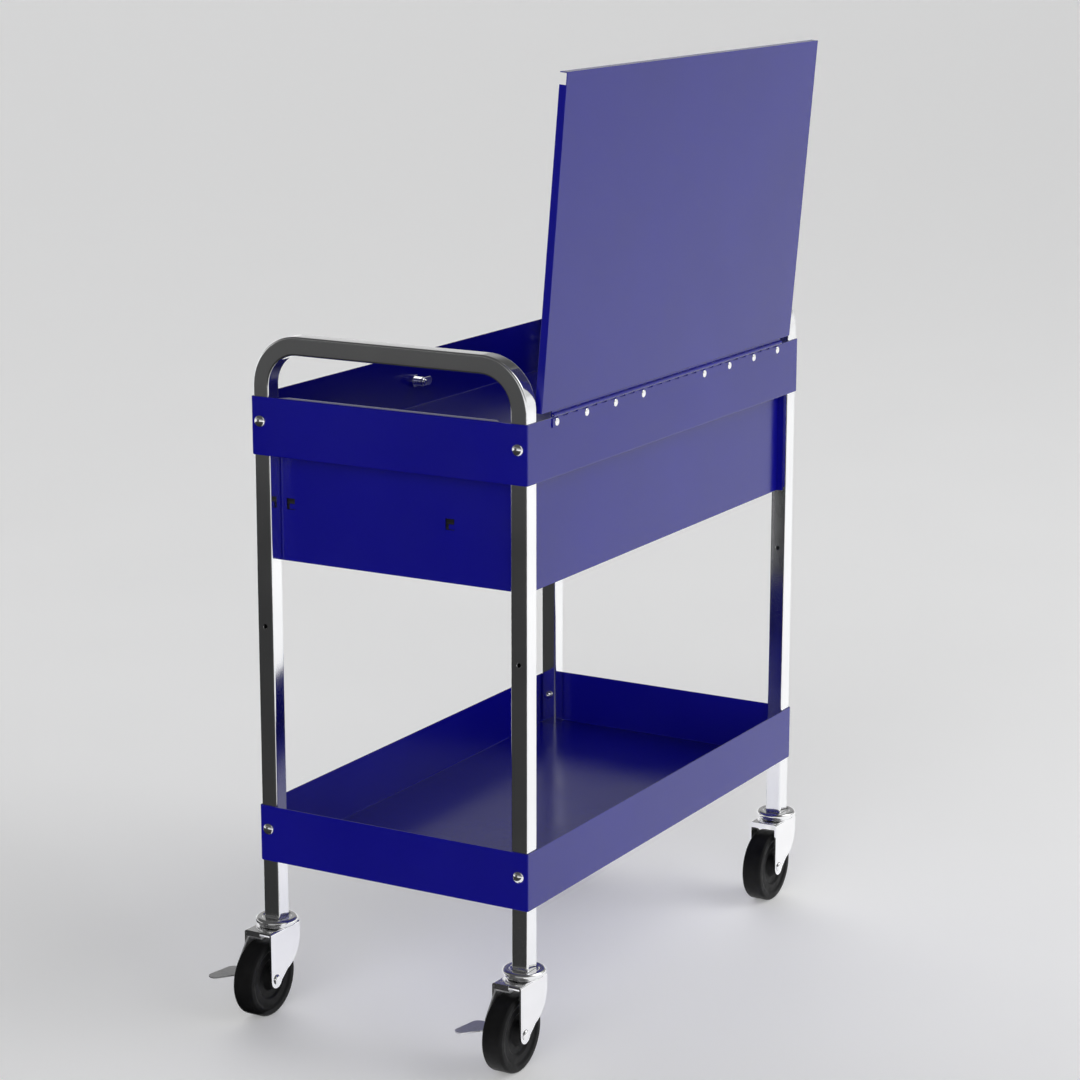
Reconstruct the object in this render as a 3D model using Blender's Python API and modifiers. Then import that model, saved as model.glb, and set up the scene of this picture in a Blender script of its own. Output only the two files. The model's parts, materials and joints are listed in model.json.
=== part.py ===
"""Flip top service cart.

Two sheet steel trays hang in two bent square tube end frames on four swivel casters.
A drawer runs in a housing under the upper tray, and a lid on a piano hinge covers the
tray. The lid stands open, leaning back past upright. Metres, +Z up, +X along the cart,
-Y is the drawer side and +Y the hinge side.
"""

import math

import bmesh
import bpy
from mathutils import Matrix, Vector

# General fits
FIT = 0.0003
SEAM = 0.0002

# Trays
TRAY_LENGTH = 0.762
TRAY_WIDTH = 0.406
TRAY_WALL = 0.0762
TRAY_SHEET = 0.0013
TRAY_FOLD = 0.0025
TRAY_LIP = 0.0127
LIP_LEG_GAP = 0.012
UPPER_TRAY_RISE = 0.6233
LOWER_TRAY_RISE = 0.0803
NOTCH_BITE = 0.00005

# End frames
TUBE = 0.0242
TUBE_WALL = 0.0015
TUBE_CORNER = 0.003
HANDLE_RISE = 0.7797
HANDLE_BEND = 0.0544
SPARE_HOLE_RISE = 0.3983
SPARE_HOLE_RADIUS = 0.003

# Tray bolts
BOLT_DROP = 0.0314
BOLT_RADIUS = 0.003
BOLT_HEAD_RADIUS = 0.008
BOLT_HEAD_HEIGHT = 0.0055
NUT_RADIUS = 0.0056
NUT_HEIGHT = 0.0075
NUT_SKIRT = 0.003

# Drawer housing
HOUSING_SHEET = 0.0012
HOUSING_HEIGHT = 0.140
HOUSING_SETBACK = 0.0074
HOUSING_FLANGE = 0.012
HOUSING_REAR_SETBACK = 0.008
SLOT_FROM_FRONT = (0.0326, 0.2716)
SLOT_WIDTH = 0.013
SLOT_HEIGHT = 0.0145
TAB_GAP = 0.0008
TAB_ROOT = 0.0015
WINDOW_GAP = 0.003

# Drawer and slides
SLIDE_LIFT = 0.005
SLIDE_HEIGHT = 0.035
SLIDE_THICKNESS = 0.0127
SLIDE_SHEET = 0.0012
SLIDE_FRONT_SETBACK = 0.012
SLIDE_REAR_GAP = 0.0292
SLIDE_PLAY = 0.0004
DRAWER_SHEET = 0.0012
DRAWER_HEADROOM = 0.021
DRAWER_FLOOR_RISE = 0.014
DRAWER_SIDE_GAP = 0.0022
DRAWER_TOP_GAP = 0.005
DRAWER_BOTTOM_GAP = 0.003
DRAWER_RETURN = 0.012
PULL_REACH = 0.014
PULL_DROP = 0.009

# Lid and piano hinge
LID_LEAN = math.radians(4.85)
LID_SHEET = 0.0012
LID_FLANGE = 0.0103
LID_SIDE_GAP = 0.0058
LID_OVERHANG = 0.0121
LID_REAR_EDGE = 0.0059
LID_WALL_CLEARANCE = 0.0021
HINGE_END_GAP = 0.0274
HINGE_PITCH = 0.0124
HINGE_LEAF = 0.001
HINGE_KNUCKLE_RADIUS = 0.0023
HINGE_PIN_RADIUS = 0.001
HINGE_PIN_PLAY = 0.0004
HINGE_AXIS_RISE = 0.0028
HINGE_NOTCH_GAP = 0.0004
TRAY_LEAF_HEIGHT = 0.0125
LID_LEAF_END = 0.020

# Lid lock
LOCK_RISE = 0.038
LOCK_BARREL_RADIUS = 0.0065
LOCK_FLANGE_WIDTH = 0.0035
LOCK_FLANGE_TAPER = 0.0015
LOCK_FLANGE = 0.0025
LOCK_BARREL_LENGTH = 0.018
LOCK_PLUG_RADIUS = 0.0042
LOCK_NUT_WALL = 0.0027
LOCK_NUT_HEIGHT = 0.0045
LOCK_CAM = 0.002
LOCK_CAM_WIDTH = 0.012
LOCK_CAM_REACH = 0.020
KEYWAY_WIDTH = 0.0012
KEYWAY_HEIGHT = 0.005
KEYWAY_DEPTH = 0.002

# Casters
WHEEL_RADIUS = 0.0508
WHEEL_HALF_WIDTH = 0.0145
WHEEL_EDGE = 0.0025
WHEEL_STEP_SHARES = (0.807, 0.748, 0.551, 0.512, 0.325)
WHEEL_STEP_DEPTHS = (0.002, 0.0045)
WHEEL_HUB_RADIUS = 0.0125
CASTER_TRAIL = 0.0322
FORK_SHEET = 0.0025
FORK_HALF_WIDTH = 0.021
FORK_END_RADIUS = 0.0118
FORK_CROWN_GAP = 0.0124
FORK_BACK = 0.0218
FORK_SWEEP_RADIUS = 0.042
FORK_SWEEP_DROP = 0.0185
FORK_FOLD = 0.003
FORK_LIP_DROP = 0.0075
FORK_LIP_INNER = 0.003
RACE_RADIUS = 0.025
RACE_RISE = 0.0026
CAP_RADIUS = 0.028
CAP_HEIGHT = 0.005
CAP_RIM_RISE = 0.0016
KINGPIN_RADIUS = 0.005
KINGPIN_HEAD_RADIUS = 0.008
KINGPIN_HEAD = 0.0028
STEM_LENGTH = 0.036
STEM_PLAY = 0.0008
AXLE_RADIUS = 0.004
AXLE_HEAD_RADIUS = 0.0072
AXLE_HEAD = 0.0034
BORE_PLAY = 0.0001

# Foot brake, measured from the swivel axis and the wheel top
BRAKE_SHEET = 0.002
BRAKE_PIVOT_X = 0.020
BRAKE_PIVOT_DROP = 0.0096
BRAKE_PIN_RADIUS = 0.003
BRAKE_SHOE_GAP = 0.0041
BRAKE_SHOE = 0.003
BRAKE_SHOE_WIDTH = 0.022
BRAKE_EYE_RADIUS = 0.007
BRAKE_ARM_DROP = 0.009
BRAKE_NECK_BACK = 0.012
BRAKE_NECK_FRONT = 0.018
PADDLE_RISE = 0.0092
PADDLE_NECK_GAP = 0.0107
PADDLE_NECK_WIDTH = 0.012
PADDLE_LENGTH = 0.043
PADDLE_BACKSET = 0.006
PADDLE_OUTREACH = 0.033
PADDLE_TIP_RADIUS = 0.009
PADDLE_BACK_RADIUS = 0.012

# Derived places
LEG_X = TRAY_LENGTH / 2 - TRAY_SHEET - FIT - TUBE / 2
LEG_Y = TRAY_WIDTH / 2 - TRAY_SHEET - FIT - TUBE / 2
LEG_INNER_X = LEG_X - TUBE / 2
FORK_FRONT = CASTER_TRAIL + FORK_END_RADIUS
FORK_UNDER_Z = 2 * WHEEL_RADIUS + FORK_CROWN_GAP
FORK_TOP_Z = FORK_UNDER_Z + FORK_SHEET
CAP_Z = FORK_TOP_Z + RACE_RISE + FIT
CAP_SEAT_Z = CAP_Z + CAP_HEIGHT
LEG_BOTTOM_Z = CAP_SEAT_Z + FIT
UPPER_TRAY_Z = LEG_BOTTOM_Z + UPPER_TRAY_RISE
LOWER_TRAY_Z = LEG_BOTTOM_Z + LOWER_TRAY_RISE
UPPER_TRAY_TOP = UPPER_TRAY_Z + TRAY_WALL
LOWER_TRAY_TOP = LOWER_TRAY_Z + TRAY_WALL
HANDLE_TOP_Z = LEG_BOTTOM_Z + HANDLE_RISE
SPARE_HOLE_Z = LEG_BOTTOM_Z + SPARE_HOLE_RISE
BRAKE_PIVOT_Z = 2 * WHEEL_RADIUS - BRAKE_PIVOT_DROP
BRAKE_INNER_Y = -(FORK_HALF_WIDTH - FORK_SHEET - FIT)
PADDLE_Z = WHEEL_RADIUS + PADDLE_RISE
PADDLE_NECK_X = FORK_FRONT + PADDLE_NECK_GAP
PADDLE_TIP_X = FORK_FRONT + PADDLE_LENGTH
PADDLE_REACH = FORK_HALF_WIDTH + PADDLE_OUTREACH
HOUSING_HALF_DEPTH = TRAY_WIDTH / 2 - HOUSING_SETBACK
HOUSING_BOTTOM_Z = UPPER_TRAY_Z - HOUSING_HEIGHT
HOUSING_TOP_Z = UPPER_TRAY_Z - FIT
PANEL_OUTER_X = LEG_INNER_X - FIT
PANEL_INNER_X = PANEL_OUTER_X - HOUSING_SHEET
SLOT_Y = [offset - HOUSING_HALF_DEPTH for offset in SLOT_FROM_FRONT]
SLIDE_Z = HOUSING_BOTTOM_Z + HOUSING_HEIGHT / 2 + SLIDE_LIFT
SLIDE_OUTER_X = PANEL_INNER_X - FIT
SLIDE_INNER_X = SLIDE_OUTER_X - SLIDE_THICKNESS
SLIDE_FRONT_Y = -HOUSING_HALF_DEPTH + SLIDE_FRONT_SETBACK
SLIDE_LENGTH = HOUSING_HALF_DEPTH - SLIDE_REAR_GAP - SLIDE_FRONT_Y
DRAWER_HEIGHT = HOUSING_HEIGHT - DRAWER_FLOOR_RISE - DRAWER_HEADROOM
DRAWER_HALF_WIDTH = SLIDE_INNER_X - FIT
HINGE_AXIS_Y = TRAY_WIDTH / 2 + FIT + HINGE_LEAF / 2
HINGE_AXIS_Z = UPPER_TRAY_TOP + HINGE_AXIS_RISE
LID_HALF_WIDTH = LEG_INNER_X - LID_SIDE_GAP
HINGE_LENGTH = 2 * (LID_HALF_WIDTH - HINGE_END_GAP)
HINGE_PAIRS = round(HINGE_LENGTH / (2 * HINGE_PITCH))
KNUCKLE_LENGTH = HINGE_LENGTH / (2 * HINGE_PAIRS)
LID_OUTER_Y = -HINGE_KNUCKLE_RADIUS + HINGE_LEAF + FIT + LID_SHEET
LID_FRONT_EDGE = HINGE_AXIS_Y + TRAY_WIDTH / 2 + LID_OVERHANG
LID_FLANGE_END = HINGE_AXIS_Y + TRAY_WIDTH / 2 - TRAY_SHEET - LID_WALL_CLEARANCE
LOCK_Z = UPPER_TRAY_Z + LOCK_RISE
ENDS = {"a": 1, "b": -1}
SIDES = {"front": -1, "rear": 1}
BRAKED_END = "a"

# The origin is on the floor under the middle of the whole cart's outline
LID_TOP_Y = (
    HINGE_AXIS_Y
    + LID_FRONT_EDGE * math.sin(LID_LEAN)
    + LID_OUTER_Y * math.cos(LID_LEAN)
)
CENTRE_X = ((LEG_X + PADDLE_TIP_X) - (LEG_X + CAP_RADIUS)) / 2
CENTRE_Y = (LID_TOP_Y - (LEG_Y + PADDLE_REACH)) / 2

# Facets
TURN_STEPS = 24
RACE_STEPS = 16
LOCK_STEPS = 16
SMALL_TURN_STEPS = 10
BOLT_STEPS = 8
HOLE_SIDES = 8
BEND_STEPS = 7
DOME_STEPS = 2
KNUCKLE_STEPS = 5


def clear_scene():
    for obj in list(bpy.data.objects):
        bpy.data.objects.remove(obj, do_unlink=True)


def make_collection(name):
    collection = bpy.data.collections.new(name)
    bpy.context.scene.collection.children.link(collection)
    return collection


def make_material(name, colour, roughness, metallic):
    material = bpy.data.materials.new(name)
    material.use_nodes = True
    shader = material.node_tree.nodes["Principled BSDF"]
    shader.inputs["Base Color"].default_value = (*colour, 1.0)
    shader.inputs["Roughness"].default_value = roughness
    shader.inputs["Metallic"].default_value = metallic
    return material


clear_scene()
PARTS = make_collection("flip_top_service_cart")
CUTTERS = make_collection("cutters")
BLUE = make_material("blue_enamel", (0.008, 0.007, 0.18), 0.22, 0.0)
CHROME = make_material("chrome", (0.75, 0.75, 0.76), 0.08, 1.0)
ZINC = make_material("zinc_plate", (0.55, 0.55, 0.56), 0.3, 1.0)
BLACK = make_material("black_steel", (0.02, 0.02, 0.021), 0.45, 0.5)
RUBBER = make_material("black_rubber", (0.012, 0.012, 0.013), 0.55, 0.0)


def make_empty(name, location, parent=None, rotation=(0, 0, 0)):
    empty = bpy.data.objects.new(name, None)
    empty.location = location
    empty.rotation_euler = rotation
    empty.parent = parent
    PARTS.objects.link(empty)
    return empty


CART = make_empty("cart_datum", (-CENTRE_X, -CENTRE_Y, 0))


def add_part(name, mesh, material, parent=CART, location=(0, 0, 0), rotation=(0, 0, 0)):
    """Put a finished mesh in the model as a named piece."""
    obj = bpy.data.objects.new(name, mesh)
    obj.data.materials.clear()
    obj.data.materials.append(material)
    obj.parent = parent
    obj.location = location
    obj.rotation_euler = rotation
    PARTS.objects.link(obj)
    return obj


def add_tool(mesh, parent=CART, location=(0, 0, 0), rotation=(0, 0, 0)):
    """Put a mesh among the cutters, where it only shapes other pieces."""
    obj = bpy.data.objects.new("cutter", mesh)
    obj.hide_render = True
    obj.display_type = "WIRE"
    obj.parent = parent
    obj.location = location
    obj.rotation_euler = rotation
    CUTTERS.objects.link(obj)
    return obj


def finish_bmesh(bm, name):
    mesh = bpy.data.meshes.new(name)
    bm.to_mesh(mesh)
    bm.free()
    return mesh


def evaluated_mesh(obj):
    """The mesh of an object with its modifiers or curve settings carried out."""
    bpy.context.view_layer.update()
    depsgraph = bpy.context.evaluated_depsgraph_get()
    mesh = bpy.data.meshes.new_from_object(obj.evaluated_get(depsgraph))
    bm = bmesh.new()
    bm.from_mesh(mesh)
    bmesh.ops.remove_doubles(bm, verts=bm.verts, dist=0.000001)
    bmesh.ops.recalc_face_normals(bm, faces=bm.faces)
    bm.to_mesh(mesh)
    bm.free()
    return mesh


def bake(obj):
    """Carry out an object's modifiers, remove it and give back the mesh."""
    mesh = evaluated_mesh(obj)
    tools = [m.object for m in obj.modifiers if m.type == "BOOLEAN"]
    bpy.data.objects.remove(obj, do_unlink=True)
    for tool in tools:
        bpy.data.objects.remove(tool, do_unlink=True)
    return mesh


def smooth(mesh, angle=35):
    mesh.shade_smooth()
    mesh.set_sharp_from_angle(angle=math.radians(angle))
    return mesh


def boolean(obj, tool, operation):
    modifier = obj.modifiers.new(operation.lower(), "BOOLEAN")
    modifier.operation = operation
    modifier.solver = "EXACT"
    modifier.object = tool
    return obj


def solidify(obj, thickness, offset=-1):
    modifier = obj.modifiers.new("sheet", "SOLIDIFY")
    modifier.thickness = thickness
    modifier.offset = offset
    modifier.use_even_offset = True
    return obj


def bevel(obj, width, segments=2, angle=40):
    modifier = obj.modifiers.new("fold", "BEVEL")
    modifier.width = width
    modifier.segments = segments
    modifier.limit_method = "ANGLE"
    modifier.angle_limit = math.radians(angle)
    return obj


def box_mesh(low, high, name="box"):
    bm = bmesh.new()
    bmesh.ops.create_cube(bm, size=1)
    size = Vector(high) - Vector(low)
    bmesh.ops.scale(bm, vec=size, verts=bm.verts)
    bmesh.ops.translate(bm, vec=(Vector(low) + Vector(high)) / 2, verts=bm.verts)
    return finish_bmesh(bm, name)


def join_meshes(meshes, name="joined"):
    bm = bmesh.new()
    for mesh in meshes:
        bm.from_mesh(mesh)
    return finish_bmesh(bm, name)


def rod_mesh(start, end, radius, sides=SMALL_TURN_STEPS, name="rod"):
    """A straight round bar between two points."""
    start, end = Vector(start), Vector(end)
    bm = bmesh.new()
    bmesh.ops.create_cone(
        bm,
        cap_ends=True,
        segments=sides,
        radius1=radius,
        radius2=radius,
        depth=(end - start).length,
    )
    turn = Vector((0, 0, 1)).rotation_difference(end - start).to_matrix()
    bmesh.ops.rotate(bm, cent=(0, 0, 0), matrix=turn, verts=bm.verts)
    bmesh.ops.translate(bm, vec=(start + end) / 2, verts=bm.verts)
    return finish_bmesh(bm, name)


def turned_mesh(profile, steps=TURN_STEPS, closed=False, name="turned"):
    """Turn a profile of (radius, height) points, outer side top to bottom, about Z."""
    bm = bmesh.new()
    verts = [bm.verts.new((radius, 0, height)) for radius, height in profile]
    for first, second in zip(verts, verts[1:]):
        bm.edges.new((first, second))
    if closed:
        bm.edges.new((verts[-1], verts[0]))
    obj = add_tool(finish_bmesh(bm, name), parent=None)
    screw = obj.modifiers.new("turn", "SCREW")
    screw.axis = "Z"
    screw.steps = steps
    screw.render_steps = steps
    screw.use_merge_vertices = True
    screw.merge_threshold = 0.00001
    return smooth(bake(obj))


def arc(centre, radius, start, end, steps):
    """Points on a circle in a plane, angles in degrees."""
    points = []
    for i in range(steps + 1):
        angle = math.radians(start + (end - start) * i / steps)
        points.append(
            (centre[0] + radius * math.cos(angle), centre[1] + radius * math.sin(angle))
        )
    return points


def polygon(radius, sides):
    """The corners of a regular polygon about the origin."""
    return arc((0, 0), radius, 0, 360, sides)[:-1]


def outline_curve(loops, half_thickness=0.0, fill="BOTH"):
    """A flat 2D curve in its own XY plane, one closed loop of points for each edge."""
    curve = bpy.data.curves.new("outline", "CURVE")
    curve.dimensions = "2D"
    curve.fill_mode = fill
    curve.extrude = half_thickness
    for loop in loops:
        spline = curve.splines.new("POLY")
        spline.points.add(len(loop) - 1)
        for point, (x, y) in zip(spline.points, loop):
            point.co = (x, y, 0, 1)
        spline.use_cyclic_u = True
    return curve


def plate_mesh(loops, thickness):
    """A flat plate of an outline, centred on its own XY plane."""
    obj = bpy.data.objects.new("plate", outline_curve(loops, thickness / 2))
    CUTTERS.objects.link(obj)
    mesh = evaluated_mesh(obj)
    bpy.data.objects.remove(obj, do_unlink=True)
    return mesh


def ribbon_mesh(points, sweep, name="ribbon"):
    """An open folded sheet: a line of points drawn along a sweep vector."""
    bm = bmesh.new()
    verts = [bm.verts.new(point) for point in points]
    edges = [bm.edges.new(pair) for pair in zip(verts, verts[1:])]
    grown = bmesh.ops.extrude_edge_only(bm, edges=edges)["geom"]
    moved = [g for g in grown if isinstance(g, bmesh.types.BMVert)]
    bmesh.ops.translate(bm, vec=sweep, verts=moved)
    return finish_bmesh(bm, name)


def open_box_mesh(low, high, open_normals, name="open_box"):
    """A box surface without the faces that look along the given normals."""
    bm = bmesh.new()
    bm.from_mesh(box_mesh(low, high))
    bm.normal_update()
    gone = [
        face
        for face in bm.faces
        for normal in open_normals
        if face.normal.dot(Vector(normal)) > 0.9
    ]
    bmesh.ops.delete(bm, geom=gone, context="FACES_ONLY")
    loose = [edge for edge in bm.edges if not edge.link_faces]
    bmesh.ops.delete(bm, geom=loose, context="EDGES")
    return finish_bmesh(bm, name)


def rounded_square(side, corner, steps=2):
    half = side / 2 - corner
    points = []
    for quarter, (sx, sy) in enumerate(((1, 1), (-1, 1), (-1, -1), (1, -1))):
        start = 90 * quarter
        points += arc((sx * half, sy * half), corner, start, start + 90, steps)
    return points


def frame_path(bottom_z):
    """The tube's centre line in the (Y, Z) plane, from one leg foot to the other."""
    top = HANDLE_TOP_Z - TUBE / 2
    bend_y = LEG_Y - HANDLE_BEND
    bend_z = top - HANDLE_BEND
    left = arc((-bend_y, bend_z), HANDLE_BEND, 180, 90, BEND_STEPS)
    right = arc((bend_y, bend_z), HANDLE_BEND, 90, 0, BEND_STEPS)
    return [(-LEG_Y, bottom_z), *left, *right, (LEG_Y, bottom_z)]


def swept_tube(path, profile):
    """A solid bar of a closed profile along a flat path, in the path's own plane."""
    section = bpy.data.objects.new("section", outline_curve([profile], fill="NONE"))
    curve = bpy.data.curves.new("path", "CURVE")
    curve.dimensions = "2D"
    spline = curve.splines.new("POLY")
    spline.points.add(len(path) - 1)
    for point, (x, y) in zip(spline.points, path):
        point.co = (x, y, 0, 1)
    curve.bevel_mode = "OBJECT"
    curve.bevel_object = section
    curve.use_fill_caps = True
    obj = bpy.data.objects.new("path", curve)
    CUTTERS.objects.link(section)
    CUTTERS.objects.link(obj)
    mesh = evaluated_mesh(obj)
    bpy.data.objects.remove(obj, do_unlink=True)
    bpy.data.objects.remove(section, do_unlink=True)
    return mesh


# A flat path lies in its own XY plane; this turn stands it up in the YZ plane
STAND_UP = (math.pi / 2, 0, math.pi / 2)
# This turn stands an XY outline up in the XZ plane, its thickness along Y
STAND_XZ = (math.pi / 2, 0, 0)


def bolt_heights():
    return [LOWER_TRAY_TOP - BOLT_DROP, UPPER_TRAY_TOP - BOLT_DROP]


def build_end_frame(end):
    """One end's bent square tube: two legs and the handle between them."""
    x = ENDS[end] * LEG_X
    outer = smooth(
        swept_tube(frame_path(LEG_BOTTOM_Z), rounded_square(TUBE, TUBE_CORNER))
    )
    frame = add_part(f"end_frame_{end}", outer, CHROME, CART, (x, 0, 0), STAND_UP)
    bore = swept_tube(
        frame_path(LEG_BOTTOM_Z - TUBE),
        rounded_square(TUBE - 2 * TUBE_WALL, TUBE_CORNER - TUBE_WALL, 1),
    )
    boolean(frame, add_tool(bore, CART, (x, 0, 0), STAND_UP), "DIFFERENCE")
    holes = []
    for side in SIDES.values():
        for z in bolt_heights():
            holes.append((side * LEG_Y, z, BOLT_RADIUS + FIT))
        holes.append((side * LEG_Y, SPARE_HOLE_Z, SPARE_HOLE_RADIUS))
    rods = [
        rod_mesh((x - TUBE, y, z), (x + TUBE, y, z), radius, HOLE_SIDES)
        for y, z, radius in holes
    ]
    boolean(frame, add_tool(join_meshes(rods)), "DIFFERENCE")


def tray_surface(bottom, lip):
    """The open folded surface of a tray, with lips on the end walls if they have any."""
    half = Vector((TRAY_LENGTH / 2, TRAY_WIDTH / 2, 0))
    low = Vector((-half.x, -half.y, bottom))
    high = Vector((half.x, half.y, bottom + TRAY_WALL))
    bm = bmesh.new()
    bm.from_mesh(open_box_mesh(low, high, [(0, 0, 1)]))
    if lip:
        leg_edge = LEG_Y - TUBE / 2 - TRAY_FOLD / 2
        reach = LEG_Y - TUBE / 2 - LIP_LEG_GAP
        for y in (-leg_edge, -reach, reach, leg_edge):
            everything = bm.verts[:] + bm.edges[:] + bm.faces[:]
            bmesh.ops.bisect_plane(
                bm, geom=everything, plane_co=(0, y, 0), plane_no=(0, 1, 0)
            )
        for end in ENDS.values():
            edges = [
                edge
                for edge in bm.edges
                if edge.is_boundary
                and all(v.co.x * end > half.x - FIT for v in edge.verts)
                and all(abs(v.co.y) < reach + FIT for v in edge.verts)
            ]
            grown = bmesh.ops.extrude_edge_only(bm, edges=edges)["geom"]
            for vert in [g for g in grown if isinstance(g, bmesh.types.BMVert)]:
                vert.co.x -= end * TRAY_LIP
                vert.co.y -= math.copysign(TRAY_LIP, vert.co.y)
    return finish_bmesh(bm, "tray")


def build_tray(name, bottom, lip):
    tray = add_part(name, tray_surface(bottom, lip), BLUE)
    bevel(tray, TRAY_FOLD)
    solidify(tray, TRAY_SHEET)
    notch = TUBE / 2 + FIT + NOTCH_BITE
    notches = []
    holes = []
    bolt_z = bottom + TRAY_WALL - BOLT_DROP
    for end in ENDS.values():
        for side in SIDES.values():
            x = end * LEG_X
            y = side * LEG_Y
            notches.append(
                box_mesh(
                    (x - notch, y - notch, bottom - TRAY_FOLD),
                    (x + notch, y + notch, bottom + 2 * TRAY_FOLD),
                )
            )
            wall_x = end * TRAY_LENGTH / 2
            reach = end * 3 * TRAY_SHEET
            holes.append(
                rod_mesh(
                    (wall_x - reach, y, bolt_z),
                    (wall_x + reach, y, bolt_z),
                    BOLT_RADIUS + FIT,
                    HOLE_SIDES,
                )
            )
    boolean(tray, add_tool(join_meshes(notches)), "DIFFERENCE")
    boolean(tray, add_tool(join_meshes(holes)), "DIFFERENCE")
    return tray


def build_trays():
    build_tray("lower_tray", LOWER_TRAY_Z, lip=False)
    upper = build_tray("upper_tray", UPPER_TRAY_Z, lip=True)
    wall_y = -TRAY_WIDTH / 2
    reach = 3 * TRAY_SHEET
    lock_hole = rod_mesh(
        (0, wall_y - reach, LOCK_Z),
        (0, wall_y + reach, LOCK_Z),
        LOCK_BARREL_RADIUS + FIT,
        LOCK_STEPS,
    )
    boolean(upper, add_tool(lock_hole), "DIFFERENCE")


def build_tray_bolts():
    """Dome headed bolts through tray wall and leg, with dome nuts on the inner face."""
    grip = TRAY_SHEET + FIT + TUBE
    head = [
        (BOLT_HEAD_RADIUS * across, FIT + BOLT_HEAD_HEIGHT * up)
        for across, up in arc((0, 0), 1, 90, 0, DOME_STEPS)
    ]
    head[0] = (0, FIT + BOLT_HEAD_HEIGHT)
    nut_top = -grip - FIT
    nut = [
        (NUT_RADIUS * across, nut_top - NUT_SKIRT + (NUT_HEIGHT - NUT_SKIRT) * up)
        for across, up in arc((0, 0), 1, 0, -90, DOME_STEPS)
    ]
    nut[-1] = (0, nut_top - NUT_HEIGHT)
    profile = [
        *head,
        (BOLT_RADIUS, FIT),
        (BOLT_RADIUS, nut_top),
        (NUT_RADIUS, nut_top),
        *nut,
    ]
    mesh = turned_mesh(profile, BOLT_STEPS)
    levels = dict(zip(("lower", "upper"), bolt_heights()))
    for level, z in levels.items():
        for end, x_sign in ENDS.items():
            for side, y_sign in SIDES.items():
                add_part(
                    f"tray_bolt_{level}_{end}_{side}",
                    mesh.copy(),
                    ZINC,
                    CART,
                    (x_sign * TRAY_LENGTH / 2, y_sign * LEG_Y, z),
                    (0, x_sign * math.pi / 2, 0),
                )


def build_housing():
    """Folded end panels on the legs' inner faces and a rear panel between them."""
    depth = 2 * HOUSING_HALF_DEPTH
    for end, sign in ENDS.items():
        outer = sign * PANEL_OUTER_X
        profile = [
            (outer - sign * HOUSING_FLANGE, -HOUSING_HALF_DEPTH, HOUSING_TOP_Z),
            (outer, -HOUSING_HALF_DEPTH, HOUSING_TOP_Z),
            (outer, -HOUSING_HALF_DEPTH, HOUSING_BOTTOM_Z),
        ]
        panel = add_part(
            f"housing_end_{end}", ribbon_mesh(profile, (0, depth, 0)), BLUE
        )
        solidify(panel, HOUSING_SHEET, sign)
        reach = 2 * HOUSING_SHEET
        slots = [
            box_mesh(
                (outer - reach, y - SLOT_WIDTH / 2, SLIDE_Z - SLOT_HEIGHT / 2),
                (outer + reach, y + SLOT_WIDTH / 2, SLIDE_Z + SLOT_HEIGHT / 2),
            )
            for y in SLOT_Y
        ]
        boolean(panel, add_tool(join_meshes(slots)), "DIFFERENCE")
        tab_outer = sign * (PANEL_INNER_X + SEAM)
        tab_inner = tab_outer - sign * HOUSING_SHEET
        tab_bottom = SLIDE_Z - SLOT_HEIGHT / 2 + TAB_GAP
        tabs = [
            box_mesh(
                (min(tab_outer, tab_inner), y - SLOT_WIDTH / 6, tab_bottom),
                (max(tab_outer, tab_inner), y + SLOT_WIDTH / 2 + TAB_ROOT, SLIDE_Z),
            )
            for y in SLOT_Y
        ]
        boolean(panel, add_tool(join_meshes(tabs)), "UNION")
    half = PANEL_INNER_X - FIT
    rear_y = HOUSING_HALF_DEPTH - HOUSING_REAR_SETBACK
    clear_z = HOUSING_TOP_Z - HOUSING_SHEET - FIT
    profile = [
        (-half, rear_y - HOUSING_FLANGE, clear_z),
        (-half, rear_y, clear_z),
        (-half, rear_y, HOUSING_BOTTOM_Z),
    ]
    panel = add_part("housing_rear", ribbon_mesh(profile, (2 * half, 0, 0)), BLUE)
    solidify(panel, HOUSING_SHEET)


def channel_mesh(web_x, lip_x, half_height):
    """The open surface of a slide member: a channel with its web at one side."""
    profile = [
        (lip_x, SLIDE_FRONT_Y, SLIDE_Z - half_height),
        (web_x, SLIDE_FRONT_Y, SLIDE_Z - half_height),
        (web_x, SLIDE_FRONT_Y, SLIDE_Z + half_height),
        (lip_x, SLIDE_FRONT_Y, SLIDE_Z + half_height),
    ]
    return ribbon_mesh(profile, (0, SLIDE_LENGTH, 0))


def build_slides():
    """Three nested channels at each side: on the housing, between, and on the drawer."""
    step = SLIDE_SHEET + SLIDE_PLAY
    outer_half = SLIDE_HEIGHT / 2
    middle_half = outer_half - step
    inner_half = middle_half - step
    for end, sign in ENDS.items():
        outer_x = sign * SLIDE_OUTER_X
        inner_x = sign * SLIDE_INNER_X
        outer = add_part(
            f"slide_outer_{end}",
            channel_mesh(outer_x, inner_x + sign * step, outer_half),
            BLACK,
        )
        solidify(outer, SLIDE_SHEET, -sign)
        reach = 2 * SLIDE_SHEET
        window_y = SLOT_WIDTH / 2 + WINDOW_GAP
        window_z = SLOT_HEIGHT / 2 + WINDOW_GAP
        windows = [
            box_mesh(
                (outer_x - reach, y - window_y, SLIDE_Z - window_z),
                (outer_x + reach, y + window_y, SLIDE_Z + window_z),
            )
            for y in SLOT_Y
        ]
        boolean(outer, add_tool(join_meshes(windows)), "DIFFERENCE")
        middle = add_part(
            f"slide_middle_{end}",
            channel_mesh(outer_x - sign * step, inner_x + sign * step, middle_half),
            BLACK,
        )
        solidify(middle, SLIDE_SHEET, -sign)
        inner = add_part(
            f"slide_inner_{end}",
            channel_mesh(inner_x, outer_x - 2 * sign * step, inner_half),
            BLACK,
        )
        solidify(inner, SLIDE_SHEET, sign)


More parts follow.
